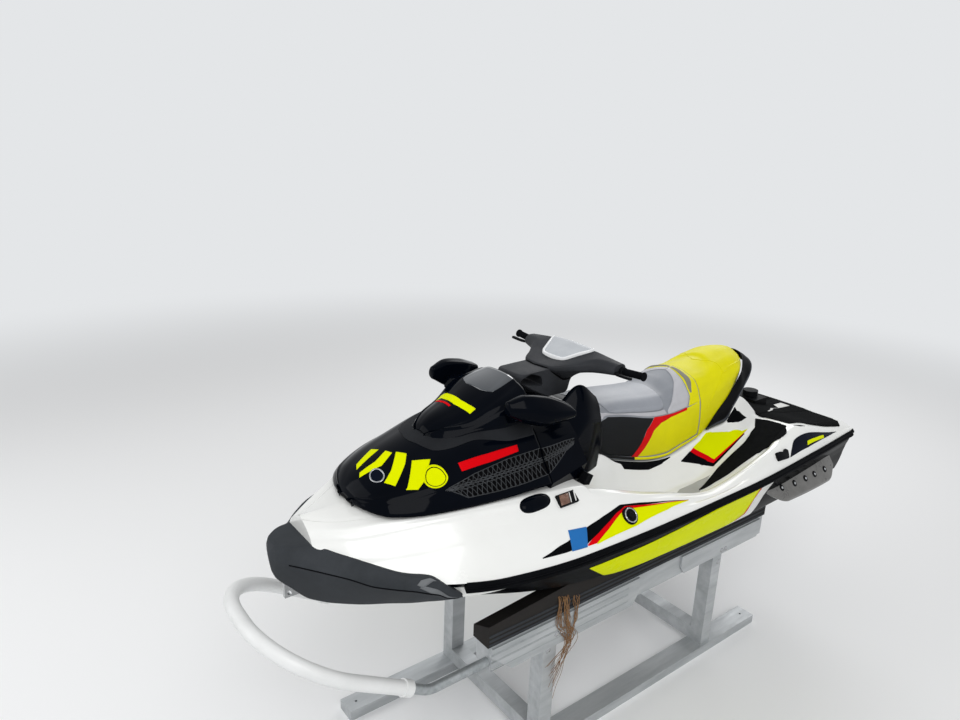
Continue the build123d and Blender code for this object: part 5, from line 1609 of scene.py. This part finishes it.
def makeWeed():
    # a dried tangle hangs over the port bunk: strands gather at a knot and part again to the foot
    random = np.random.default_rng(weed["seed"])
    low, high = weed["top"]
    share = between(0, 1, 40)
    strands = []
    for k in range(weed["strands"]):
        x = low + (high - low) * random.random()
        knot = np.array(weed["knot"]) + random.normal(0, 1, 3) * weed["knotSpread"]
        foot = np.array(weed["foot"]) + random.normal(0, 1, 3) * weed["footSpread"]
        foot = foot + [(x - (low + high) / 2) * 0.2, 0, 0]
        turn = random.normal(0, 12, 3)
        line = [(x, 388, 40 + 0.32 * (x - low)), (x + turn[0], 402, 20 + 0.3 * (x - low)),
                (x + turn[1], 413, -50), (0.5 * (x + knot[0]) + turn[2], 414, -110), knot]
        if k % 3:    # every third strand ends at the knot
            line += [0.5 * (knot + foot) + [turn[0], 2, 0], foot]
        path = smoothLine(line, 40)
        path[:, 0] += 3 * np.sin(share * 40 + k)
        strands.append(tubeGrid(path, weed["radius"] * (1 - 0.6 * share) + 0.3, 5))
    addParts("weedTangle", strands, finish["driedWeed"], slot="cradle_alloy", sharp=80)


makeCradleDetails()
makeWeed()
print("cradle details made")


# Camera, light and floor

camera = {    # place on the craft's axes, turns in radians, lens in the photo's pixels
    "spot": (4400.55, 2377.57, 2053.10), "yaw": 4.05226, "pitch": 0.297206, "roll": -0.0376789,
    "focal": 720.7, "width": 960,
}
studio = {    # colours, light, where the floor fades into the backdrop, and each lamp's place, size, power
    "pale": "E4E6E8", "floor": "F4F5F6", "world": 0.46, "fadeNear": 5.0, "fadeFar": 11.0, "floorReach": 60,
    "lamps": {"key": ((3.5, 5.0, 6.5), 5.0, 320), "fill": ((5.5, -3.0, 3.5), 4.0, 90),
              "rim": ((-5.0, -3.0, 5.0), 4.0, 130)},
    "target": (0, 0, 1),
}


def makeCamera():
    yaw, pitch, roll = camera["yaw"], camera["pitch"], camera["roll"]
    level = np.array([math.cos(yaw), math.sin(yaw), 0])
    ahead = math.cos(pitch) * level - np.array([0, 0, math.sin(pitch)])
    right = np.cross(ahead, (0, 0, 1))
    right /= np.linalg.norm(right)
    down = np.cross(ahead, right)
    turned = math.cos(roll) * right + math.sin(roll) * down
    lower = -math.sin(roll) * right + math.cos(roll) * down
    data = bpy.data.cameras.new("camera")
    data.lens = data.sensor_width * camera["focal"] / camera["width"]
    data.clip_end = 200
    made = addObject("camera", data)
    turn = Matrix(np.stack([turned, -lower, -ahead], axis=1).tolist()).to_4x4()
    made.matrix_world = Matrix.Translation(toRow(camera["spot"])) @ turn
    bpy.context.scene.camera = made


def seenDirectly(tree):
    # 1 for rays from the camera, a reflection or a pane, 0 for light
    path = addNode(tree, "ShaderNodeLightPath").outputs
    first = addNode(tree, "ShaderNodeMath", {0: path["Is Camera Ray"], 1: path["Is Glossy Ray"]},
                    operation="MAXIMUM")
    return addNode(tree, "ShaderNodeMath", {0: first.outputs[0], 1: path["Is Transmission Ray"]},
                   operation="MAXIMUM").outputs[0]


def makeWorld():
    world = bpy.data.worlds.new("studio")
    bpy.context.scene.world = world
    world.use_nodes = True
    tree = world.node_tree
    tree.nodes.clear()
    light = addNode(tree, "ShaderNodeBackground", {"Color": (1, 1, 1, 1), "Strength": studio["world"]})
    shown = addNode(tree, "ShaderNodeBackground", {"Color": fromHex(studio["pale"]), "Strength": 1.0})
    mixed = addNode(tree, "ShaderNodeMixShader", {0: seenDirectly(tree), 1: light.outputs[0],
                                                  2: shown.outputs[0]})
    addNode(tree, "ShaderNodeOutputWorld", {"Surface": mixed.outputs[0]})


def makeFloor():
    # a flat disc whose colour fades into the backdrop's with distance
    made, tree, place = startMaterial("floorPale")
    reach = addNode(tree, "ShaderNodeVectorMath", {0: place}, operation="LENGTH").outputs["Value"]
    fade = addNode(tree, "ShaderNodeMapRange", {"Value": reach, "From Min": studio["fadeNear"],
                                                "From Max": studio["fadeFar"]},
                   interpolation_type="SMOOTHSTEP")
    far = addNode(tree, "ShaderNodeMath", {0: fade.outputs[0], 1: seenDirectly(tree)}, operation="MULTIPLY")
    near = addNode(tree, "ShaderNodeBsdfDiffuse", {"Color": fromHex(studio["floor"])})
    glow = addNode(tree, "ShaderNodeEmission", {"Color": fromHex(studio["pale"]), "Strength": 1.0})
    mixed = addNode(tree, "ShaderNodeMixShader", {0: far.outputs[0], 1: near.outputs[0], 2: glow.outputs[0]})
    addNode(tree, "ShaderNodeOutputMaterial", {"Surface": mixed.outputs[0]})
    edge = studio["floorReach"]
    rim = [(edge * math.cos(a), edge * math.sin(a), 0) for a in between(0, 2 * math.pi, 65)[:-1]]
    mesh = bpy.data.meshes.new("floor")
    mesh.from_pydata(rim, [], [list(range(len(rim)))])
    mesh.materials.append(made)
    addObject("floor", mesh)


def makeLamps():
    target = Vector(studio["target"])
    for name, (spot, size, power) in studio["lamps"].items():
        data = bpy.data.lights.new(name, "AREA")
        data.energy = power
        data.size = size
        lamp = addObject(name, data)
        lamp.location = spot
        lamp.rotation_euler = (target - Vector(spot)).to_track_quat("-Z", "Y").to_euler()


makeCamera()
makeWorld()
makeFloor()
makeLamps()
bpy.context.scene.view_settings.view_transform = "Standard"
print("camera, light and floor set")
